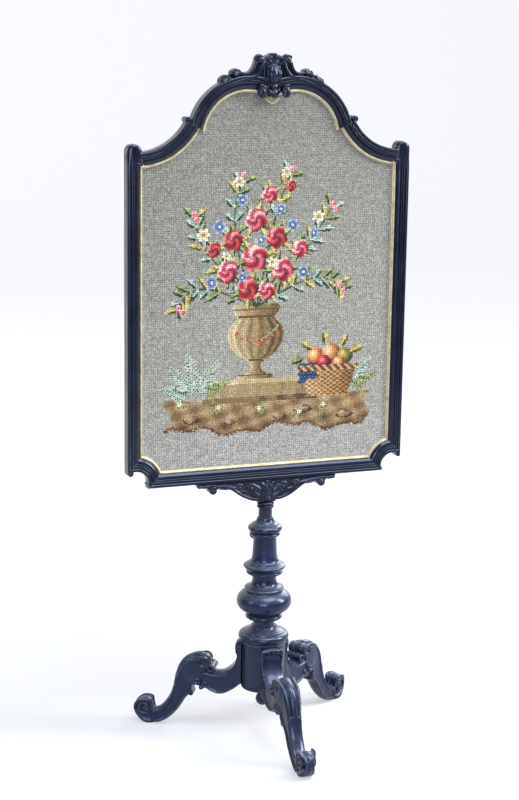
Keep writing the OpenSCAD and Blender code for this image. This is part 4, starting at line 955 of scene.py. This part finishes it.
class Chart:
    """Rows of stitches, each with a colour, worked motif by motif from back to front."""

    def __init__(self):
        self.nx, self.nz = 246, 352
        self.x0, self.z0 = -self.nx * STITCH / 2, RAIL_Z + 19.4
        i, j = np.arange(self.nx), np.arange(self.nz)
        self.X, self.Z = np.meshgrid(self.x0 + (i + 0.5) * STITCH, self.z0 + (j + 0.5) * STITCH)
        self.yarn = np.zeros((self.nz, self.nx, 3))
        self.worked = np.zeros((self.nz, self.nx), bool)
        self.luck = np.random.default_rng(11).random((self.nz, self.nx))

    def work(self, where, tones, shade):
        """Stitches where the mask says, each in the tone that its shade from 0 to 1 picks."""
        steps = np.array([colour(t)[:3] for t in tones])
        k = np.clip(((shade + 0.10 * (self.luck - 0.5)) * len(tones)).astype(int), 0, len(tones) - 1)
        self.yarn[where] = steps[k[where]]
        self.worked |= where

    def turn(self, x, z, angle):
        """Places along and across a direction from a point."""
        a = math.radians(angle)
        dx, dz = self.X - x, self.Z - z
        return dx * math.cos(a) + dz * math.sin(a), dz * math.cos(a) - dx * math.sin(a)

    def leaf(self, x, z, angle, length, width, tones, teeth=3):
        """Half as wide as a sine along it, toothed, one side lit, with a pale midrib."""
        s, t = self.turn(x, z, angle)
        s = s / length
        inside = (s > 0) & (s < 1)
        half = width / 2 * np.sin(np.pi * np.clip(s, 0, 1)) ** 0.7 * (0.88 + 0.16 * np.cos(2 * np.pi * teeth * s))
        where = inside & (np.abs(t) < half)
        shade = 0.45 + 0.30 * np.sign(t) * np.sign(math.cos(math.radians(angle)) + 0.01) + 0.12 * np.cos(9 * s)
        shade = np.where(np.abs(t) < STITCH * 0.45, 0.95, shade)
        self.work(where, tones, shade)

    def rose(self, x, z, r, tones, turn=0.0):
        """A rose: petals as waves round it that tighten inwards, lit from the upper left."""
        dx, dz = (self.X - x) / r, (self.Z - z) / r
        rho, th = np.hypot(dx, dz), np.arctan2(dz, dx) + turn
        where = rho < 0.90 + 0.10 * np.cos(5 * th)
        shade = 0.52 + 0.30 * (dz - dx) / 1.4 + 0.24 * np.sin(2.5 * th + 7.5 * rho) - 0.2 * np.exp(-(rho / 0.22) ** 2)
        self.work(where, tones, shade)

    def star(self, x, z, r, petals, tones, heart, turn=0.0):
        """An open flower: a cosine outline of petals, dark between them, with a bright heart."""
        dx, dz = (self.X - x) / r, (self.Z - z) / r
        rho, th = np.hypot(dx, dz), np.arctan2(dz, dx) + turn
        rim = 0.62 + 0.38 * np.abs(np.cos(petals * th / 2))
        self.work(rho < rim, tones, 0.35 + 0.65 * rho / rim - 0.3 * (1 - np.abs(np.cos(petals * th / 2))))
        self.work(rho < 0.24, [heart], 0 * rho)

    def stem(self, points, width, tones):
        """A stem within half its width of a smooth line."""
        p = smooth(points, 10)
        d = np.full(self.X.shape, 1e9)
        for a, b in zip(p[:-1], p[1:]):
            ab = b - a
            t = np.clip(((self.X - a[0]) * ab[0] + (self.Z - a[1]) * ab[1]) / (ab @ ab + 1e-9), 0, 1)
            d = np.minimum(d, np.hypot(self.X - a[0] - t * ab[0], self.Z - a[1] - t * ab[1]))
        self.work(d < width / 2, tones, 0.5 + 0.3 * np.sin(self.Z / 5))

    def fern(self, x, z, angle, length, tones):
        """A frond: a bent rib with pairs of leaflets that shorten towards its tip."""
        a = math.radians(angle)
        s = np.linspace(0, 1, 12)
        bend = 0.35 * s**2 * (1 if math.cos(a) > 0 else -1)
        px = x + length * np.cumsum(np.cos(a - bend)) / 12
        pz = z + length * np.cumsum(np.sin(a - bend)) / 12
        for k in range(12):
            size = length * 0.34 * (1 - 0.75 * s[k])
            for side in (-1, 1):
                self.leaf(px[k], pz[k], angle - math.degrees(bend[k]) + side * 62, size, 5.2, tones, 1)
        self.stem(np.column_stack([px, pz])[::3], 2.2, tones[-2:])

    def vessel(self, x, profile, tones, flutes=0):
        """A round vessel: half as wide as its profile at each height, shaded as a cylinder."""
        zs, ws = np.array(profile, float).T
        w = np.interp(self.Z, zs, ws, left=0, right=0)
        a = np.clip((self.X - x) / np.maximum(w, 1e-6), -1, 1)
        shade = 0.60 - 0.42 * np.sin(np.arcsin(a) * 0.9 + 0.5) * 1.0
        shade = shade + (0.13 * np.cos(flutes * np.arcsin(a)) if flutes else 0)
        self.work(np.abs(self.X - x) < w, tones, shade)


GREENS = ["#232c22", "#36482f", "#52683c", "#7a8a50", "#a9b27a"]
OCHRES = ["#4b4a23", "#77702d", "#9c8d3a", "#b9a755", "#d6cb8c"]
BLUE_GREENS = ["#1f3336", "#33514f", "#5c7f74", "#90ad9c", "#c6d5c4"]
ROSES = ["#5f1a2a", "#99283b", "#bf3c50", "#d6697a", "#eab0b4", "#f6dcd8"]
REDS = ["#4d141f", "#86202d", "#b32f3d", "#cf5a60", "#e59a96"]
BLUES = ["#16213c", "#233a63", "#3c5c8c", "#6f8fb6", "#a9c0d6"]
CREAMS = ["#7d6a4c", "#b49c74", "#d6c49c", "#eadfc2", "#f6f0df"]
STONES = ["#5d4b33", "#8a744f", "#a9936a", "#c4ae84", "#d9c8a2"]
EARTHS = ["#5e4a34", "#80684a", "#9b815c", "#b29a74", "#c7b290"]
BROWNS = ["#3c2417", "#6a4227", "#96673d", "#bb8e5c", "#d9b98b"]
PEACHES = ["#8c4a2a", "#c0703c", "#d9955a", "#ecc08c", "#f6dfbc"]


def ledge(c):
    """The ground strip, a stone step with a moulded edge, and stones."""
    low = 604 + 7 * np.sin(c.X / 31 + 0.4) + 4 * np.sin(c.X / 11) + 3 * (c.luck > 0.5)
    high = 676 + 9 * np.sin(c.X / 52 + 1.2)
    strip = (c.Z > low) & (c.Z < high) & (c.X > -196 + 8 * np.sin(c.Z / 9)) & (c.X < 204 + 6 * np.sin(c.Z / 7))
    c.work(strip, EARTHS, 0.5 + 0.28 * np.sin(c.X / 23 + c.Z / 6) * np.cos(c.X / 9 - c.Z / 13) + 0.2 * (c.Z - 640) / 60)
    c.work(strip & (c.Z < low + 4.4), BROWNS, 0.25 + 0 * c.X)
    for z0, z1, x0, x1, base in ((668, 694, -120, 92, 0.62), (694, 703, -112, 84, 0.86), (658, 668, -128, 100, 0.36)):
        slab = (c.Z > z0) & (c.Z < z1) & (c.X > x0) & (c.X < x1)
        c.work(slab, STONES, base - 0.22 * (c.X - x0) / (x1 - x0) + 0.05 * np.sin(c.X / 6))
    for x, z, rx, rz in ((-150, 632, 15, 8), (26, 628, 12, 6), (72, 640, 18, 8), (-74, 622, 10, 5), (158, 624, 16, 7)):
        d = np.hypot((c.X - x) / rx, (c.Z - z) / rz)
        c.work(d < 1, EARTHS, 0.8 - 0.7 * d * (c.X > x) - 0.2 * (c.Z < z))
        c.work((d > 0.86) & (d < 1.12) & (c.Z < z), BROWNS, 0 * d)


def urn(c, x):
    c.vessel(x, [(702, 34), (709, 34), (710, 24), (717, 13), (726, 9), (733, 12), (736, 17), (738, 12)], STONES)
    c.vessel(x, [(738, 10), (742, 26), (752, 41), (768, 52), (786, 56), (800, 52), (812, 42), (820, 34)], STONES, 14)
    c.vessel(x, [(818, 34), (822, 40), (832, 46), (838, 47), (842, 43)], STONES)
    for z, w in ((709, 34), (738, 13), (820, 35), (833, 46)):
        c.work((np.abs(c.Z - z) < STITCH * 0.6) & (np.abs(c.X - x) < w), STONES[:1], 0 * c.X)
    # A swag of small leaves and berries across the bowl
    for k in range(9):
        px = x - 40 + 10 * k
        pz = 792 - 16 * math.sin(math.pi * k / 8)
        c.leaf(px, pz, -70 + 17 * k, 13, 7, GREENS, 1)
        c.star(px + 3, pz - 3, 3.4, 4, REDS[2:4], REDS[4])


def bouquet(c, x):
    rng = np.random.default_rng(5)
    # Sprays that leave the urn, each with leaves on both sides
    sprays = [((x, 838), (x - 60, 900), (x - 108, 958), (x - 120, 1010)), ((x, 838), (x - 34, 930), (x - 44, 1010), (x - 30, 1076)),
              ((x, 838), (x + 22, 940), (x + 40, 1020), (x + 66, 1086)), ((x, 838), (x + 60, 920), (x + 112, 968), (x + 150, 1024)),
              ((x, 838), (x + 84, 880), (x + 136, 886), (x + 172, 866)), ((x, 838), (x - 84, 872), (x - 132, 868), (x - 152, 838))]
    for points in sprays:
        c.stem(points, 3.4, GREENS[1:3])
        line = smooth(points, 6)
        for k in range(3, len(line) - 1, 2):
            d = line[k] - line[k - 1]
            a = math.degrees(math.atan2(d[1], d[0]))
            for side in (-1, 1):
                tones = (GREENS, OCHRES, BLUE_GREENS)[int(rng.integers(3))]
                c.leaf(*line[k], a + side * (38 + 20 * rng.random()), 24 + 12 * rng.random(), 13, tones, 3)
    blooms = [(-2, 1000, 23, ROSES), (-46, 962, 21, REDS), (38, 966, 22, REDS), (-4, 930, 27, ROSES),
              (-56, 905, 22, ROSES), (50, 906, 24, ROSES), (-16, 872, 24, REDS), (84, 944, 18, ROSES),
              (24, 1046, 17, ROSES), (-84, 946, 15, REDS), (20, 868, 19, ROSES), (64, 1060, 12, REDS)]
    for dx, z, r, tones in blooms:
        for a in range(0, 360, 60):
            turn = a + 40 * rng.random()
            c.leaf(x + dx, z, turn, r * 1.55, r * 0.62, GREENS if rng.random() < 0.6 else OCHRES, 2)
        c.rose(x + dx, z, r, tones, rng.random() * 6)
    for dx, z, r in ((-74, 988, 13), (8, 962, 11), (70, 988, 13), (-30, 1036, 12), (92, 900, 13), (-88, 886, 13),
                     (-28, 894, 10), (112, 972, 10), (46, 1018, 11)):
        c.star(x + dx, z, r, 5, BLUES, CREAMS[3], rng.random() * 3)
    for dx, z, r in ((-104, 974, 13), (56, 1086, 10), (-36, 1070, 11), (120, 1002, 12), (30, 920, 10), (-60, 934, 9)):
        c.star(x + dx, z, r, 6, CREAMS, OCHRES[2], rng.random() * 3)
    for dx, z in ((-122, 1012), (-118, 1002), (148, 1026), (156, 1016), (68, 1092), (-152, 842), (-144, 834), (174, 862), (166, 872), (-28, 1082)):
        c.rose(x + dx, z, 6.5, ROSES[2:])


def basket(c, x):
    """A wicker basket of fruit: a weave of pairs of stitches, with a plaited rim."""
    w = 40 + (c.Z - 662) * 0.32
    body = (c.Z > 662) & (c.Z < 718) & (np.abs(c.X - x) < w)
    i, j = np.floor((c.X - c.x0) / STITCH), np.floor((c.Z - c.z0) / STITCH)
    weave = ((i // 3 + j // 2) % 2) * 0.34 + 0.18 * ((j % 2) == 0)
    c.work(body, BROWNS, 0.36 + weave - 0.26 * (c.X - x) / 60)
    for dx, z, r, tones in ((-26, 738, 17, PEACHES), (6, 742, 19, PEACHES), (34, 736, 16, OCHRES), (-8, 726, 14, REDS), (22, 724, 13, PEACHES)):
        d = np.hypot(c.X - x - dx, c.Z - z) / r
        light = np.hypot(c.X - x - dx + r * 0.35, c.Z - z - r * 0.35) / r
        c.work(d < 1, tones, 0.98 - 0.8 * light + 0 * d)
    for k in range(22):
        gx, gz = x - 56 + 7.2 * (k % 5) + 3 * (k // 5 % 2), 722 - 7.4 * (k // 5)
        d = np.hypot(c.X - gx, c.Z - gz)
        c.work(d < 4.5, BLUES, 0.75 - 0.14 * d)
    for a, dx, z in ((150, -30, 752), (60, 24, 754), (100, -4, 758), (20, 44, 744), (200, -48, 738)):
        c.leaf(x + dx, z, a, 30, 16, OCHRES if a % 40 else GREENS, 3)
    rim = (np.abs(c.Z - 716) < 4.6) & (np.abs(c.X - x) < 61)
    c.work(rim, BROWNS, 0.55 + 0.35 * np.sin((c.X + c.Z) / 2.4))


def needlework_chart():
    c = Chart()
    ledge(c)
    for x, z, a, size, tones in ((-150, 676, 120, 66, BLUE_GREENS), (-142, 676, 96, 78, BLUE_GREENS),
                                 (-134, 676, 66, 70, BLUE_GREENS), (-158, 672, 150, 56, BLUE_GREENS),
                                 (-120, 674, 38, 50, GREENS), (166, 670, 64, 74, BLUE_GREENS),
                                 (174, 670, 40, 52, GREENS), (150, 672, 100, 70, GREENS)):
        c.fern(x, z, a, size, tones)
    urn(c, -24)
    basket(c, 122)
    bouquet(c, -24)
    for x, z, s in ((-100, 640, 1), (-12, 634, -1), (110, 634, 1), (-168, 650, -1), (60, 622, 1)):
        for a in (50, 75, 100, 128):
            c.leaf(x, z, a, 17, 5, GREENS, 1)
        c.star(x + 4 * s, z + 12, 4.5, 5, CREAMS[2:], OCHRES[2])
    ground = ~c.worked
    tone = np.array([colour(t)[:3] for t in ("#a6a49b", "#b0aea5", "#9c9a90", "#bab8b1")])
    pick = (c.luck * 4).astype(int) % 4
    field = tone[pick]
    # Painted light: the ground's yarn is lighter towards the bottom and a little darker towards the far left; below z
    # 640 it is also a little bluer
    fade = 0.62 + 0.43 * np.clip((1200 - c.Z) / 620, 0, 1) - 0.05 * np.clip((-c.X - 120) / 100, 0, 1)
    cool = np.stack([0.99 + 0 * c.X, 1.0 + 0 * c.X, 1.0 + 0.05 * np.clip((640 - c.Z) / 60, 0, 1)], -1)
    c.yarn[ground] = (field * fade[..., None] * cool)[ground]
    return c


def outline_holds(x, z, u):
    """Whether points lie within the panel's outline, u inside the frame's outer edge."""
    x = np.abs(x)
    low = (z > RAIL_Z + u) & (x < HALF_W - u) & (np.hypot(x - CORNER_C[0], z - CORNER_C[1]) > CORNER_R + u)
    side = (KINK_B - KINK_A) / np.linalg.norm(KINK_B - KINK_A)
    past = (x - KINK_A[0]) * side[1] - (z - KINK_A[1]) * side[0]
    under = (np.hypot(x - SWEEP_C[0], z - SWEEP_C[1]) > SWEEP_R + u) & (z < SWEEP_C[1] - 30)
    in_arch = np.hypot(x - ARCH_C[0], z - ARCH_C[1]) < ARCH_R - u
    return low & np.where(past > 0, under, in_arch | (z < ARCH_C[1]))


def needlework():
    c = needlework_chart()
    i, j = np.meshgrid(np.arange(c.nx + 1), np.arange(c.nz + 1))
    x, z = c.x0 + i * STITCH, c.z0 + j * STITCH
    # Pulled over its stretcher, it lies flat to a few tenths of a millimetre
    f = 0.45 + 0.12 * np.sin(x / 90) * np.sin(z / 110) - 0.0 * x
    keep = outline_holds(c.X, c.Z, 19.2 + STITCH * 0.7)
    k = np.arange((c.nx + 1) * (c.nz + 1)).reshape(c.nz + 1, c.nx + 1)
    quads = np.stack([k[:-1, :-1], k[:-1, 1:], k[1:, 1:], k[1:, :-1]], -1)[keep]
    used, index = np.unique(quads, return_inverse=True)
    points = np.stack([x, AXIS_Y - f, z], -1).reshape(-1, 3)[used] * MM
    mesh = bpy.data.meshes.new("needlework_stitched")
    mesh.from_pydata(points.tolist(), [], index.reshape(-1, 4).tolist())
    yarn = np.concatenate([c.yarn, np.ones((*c.yarn.shape[:2], 1))], -1)[keep]
    shades = mesh.color_attributes.new("stitch", "FLOAT_COLOR", "CORNER")
    shades.data.foreach_set("color", np.repeat(yarn, 4, 0).astype(np.float32).ravel())
    made = piece("needlework_stitched", mesh, "screen", WOOL, "needlework", sharp=0)


def plain_nodes():
    """CAD nodes whose own shape is right get their real finish."""
    finishes = {
        "leg_dowels": DEAL_UP, "frame_dowels": DEAL_UP, "backboard": DEAL_UP, "stretcher_left": DEAL_UP,
        "stretcher_right": DEAL_UP, "stretcher_bottom": DEAL_ACROSS, "stretcher_head": DEAL_ACROSS,
        "stretcher_bar": DEAL_ACROSS, "clamp_bush": BRASS, "clamp_screw": BRASS, "apron_screws": IRON,
        "canvas_tacks": IRON, "backboard_brads": IRON,
    }
    for node, material in finishes.items():
        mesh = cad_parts[node].data
        mesh.materials.clear()
        mesh.materials.append(material)


# The studio

def studio():
    # One sheet of pale paper: a wide floor that curves up far behind
    bend = [[-9000, 0]] + arc([6500, 2500], 2500, -90, 0, 32).tolist() + [[9000, 9000]]
    rows = np.array([[[x, y, z] for x in np.linspace(-11000, 11000, 23)] for y, z in bend], float)
    paper = mesh_of("studio_paper", [grid(rows)], outward=False)
    paper.polygons.foreach_set("use_smooth", np.ones(len(paper.polygons), bool))
    mat = new_material("pale_studio_paper")
    place = add(mat, "ShaderNodeTexCoord")
    away = add(mat, "ShaderNodeVectorMath", {0: (place, "Object")}, operation="LENGTH")
    # The paper is lit by its lamps near the object, and glows for the camera where they don't reach
    far = level(mat, away, "Value", 0.5, 4.0, 0.52, 0.88)
    ray = add(mat, "ShaderNodeLightPath")
    seen = add(mat, "ShaderNodeMath", {0: (ray, "Is Camera Ray"), 1: (ray, "Is Transmission Ray")},
               operation="MAXIMUM")
    # A polished face sees the lit paper behind the object in full, and that on the camera's side dimly
    seat = add(mat, "ShaderNodeSeparateXYZ", {"Vector": (place, "Object")})
    behind = level(mat, seat, "Y", -1.2, 1.6, 0.22, 1.0)
    shine = add(mat, "ShaderNodeMath", {0: (ray, "Is Glossy Ray"), 1: (behind, "Result")}, operation="MULTIPLY")
    seen = add(mat, "ShaderNodeMath", {0: (seen, "Value"), 1: (shine, "Value")}, operation="MAXIMUM")
    glow = add(mat, "ShaderNodeMath", {0: (seen, "Value"), 1: (far, "Result")}, operation="MULTIPLY")
    matt = add(mat, "ShaderNodeBsdfDiffuse", values={"Color": colour("#b4b5b8")})
    lift = add(mat, "ShaderNodeEmission", {"Strength": (glow, "Value")}, {"Color": colour("#fbfcff")})
    both_ways = add(mat, "ShaderNodeAddShader", {0: (matt, "BSDF"), 1: (lift, "Emission")})
    add(mat, "ShaderNodeOutputMaterial", {"Surface": (both_ways, "Shader")})
    paper.materials.append(mat)
    floor = bpy.data.objects.new("studio_paper", paper)
    bpy.context.scene.collection.objects.link(floor)

    world = bpy.data.worlds.new("studio")
    bpy.context.scene.world = world
    world.use_nodes = True
    world.node_tree.nodes.clear()
    ray = add(world, "ShaderNodeLightPath")
    bright = add(world, "ShaderNodeMapRange", {"Value": (ray, "Is Camera Ray")}, {"To Min": 0.12, "To Max": 1.0})
    sky = add(world, "ShaderNodeBackground", {"Strength": (bright, "Result")}, {"Color": colour("#fbfbfd")})
    add(world, "ShaderNodeOutputWorld", {"Surface": (sky, "Background")})

    def lamp(name, place, aim, size, watts, tint):
        light = bpy.data.lights.new(name, "AREA")
        light.shape, light.size, light.size_y = "RECTANGLE", *size
        light.energy, light.color = watts, colour(tint)[:3]
        held = bpy.data.objects.new(name, light)
        bpy.context.scene.collection.objects.link(held)
        held.location = place
        held.rotation_euler = (Vector(aim) - Vector(place)).to_track_quat("-Z", "Y").to_euler()

    lamp("softbox_right", (2.8, -1.0, 2.3), (0, 0, 0.7), (0.8, 1.9), 102, "#ffffff")
    lamp("softbox_front", (-1.3, -3.1, 1.4), (0, 0, 0.7), (1.6, 1.6), 44, "#f6f9ff")
    lamp("softbox_left", (-2.9, -0.4, 1.9), (0, 0, 0.8), (0.8, 2.2), 18, "#f0f4ff")
    lamp("overhead", (0.6, -1.0, 3.3), (0, 0, 0.3), (2.4, 1.8), 96, "#f2f6ff")
    lamp("rim_behind", (2.5, 2.2, 2.0), (0, 0, 0.9), (2.0, 2.0), 52, "#f6f8ff")


def camera():
    """The photograph's camera, fitted to the floor, the turned circles and the frame."""
    azimuth, distance, height = math.radians(-20.63994), 3.27607, 1.37215
    pan, pitch, tilt, focal = math.radians(-0.24591), math.radians(12.26931), math.radians(0.81996), 1787.062
    place = Vector((distance * math.sin(azimuth), AXIS_Y * MM - distance * math.cos(azimuth), height))
    ahead = Vector((-math.sin(azimuth), math.cos(azimuth), 0))
    right = Vector((math.cos(azimuth), math.sin(azimuth), 0))
    ahead, right = (ahead * math.cos(pan) + right * math.sin(pan), right * math.cos(pan) - ahead * math.sin(pan))
    up = Vector((0, 0, 1))
    ahead, up = (ahead * math.cos(pitch) - up * math.sin(pitch), up * math.cos(pitch) + ahead * math.sin(pitch))
    right, up = (right * math.cos(tilt) + up * math.sin(tilt), up * math.cos(tilt) - right * math.sin(tilt))
    lens = bpy.data.cameras.new("photograph")
    lens.sensor_width, lens.lens = 36.0, focal * 36.0 / 800
    lens.clip_start, lens.clip_end = 0.05, 60
    held = bpy.data.objects.new("photograph", lens)
    bpy.context.scene.collection.objects.link(held)
    turn = Matrix((right, up, -ahead)).transposed()
    held.matrix_world = Matrix.Translation(place) @ turn.to_4x4()
    bpy.context.scene.camera = held


camera()
frame_pieces()
turned_column()
legs()
crest()
apron()
needlework()
plain_nodes()
studio()
bpy.context.scene.view_settings.view_transform = "Standard"
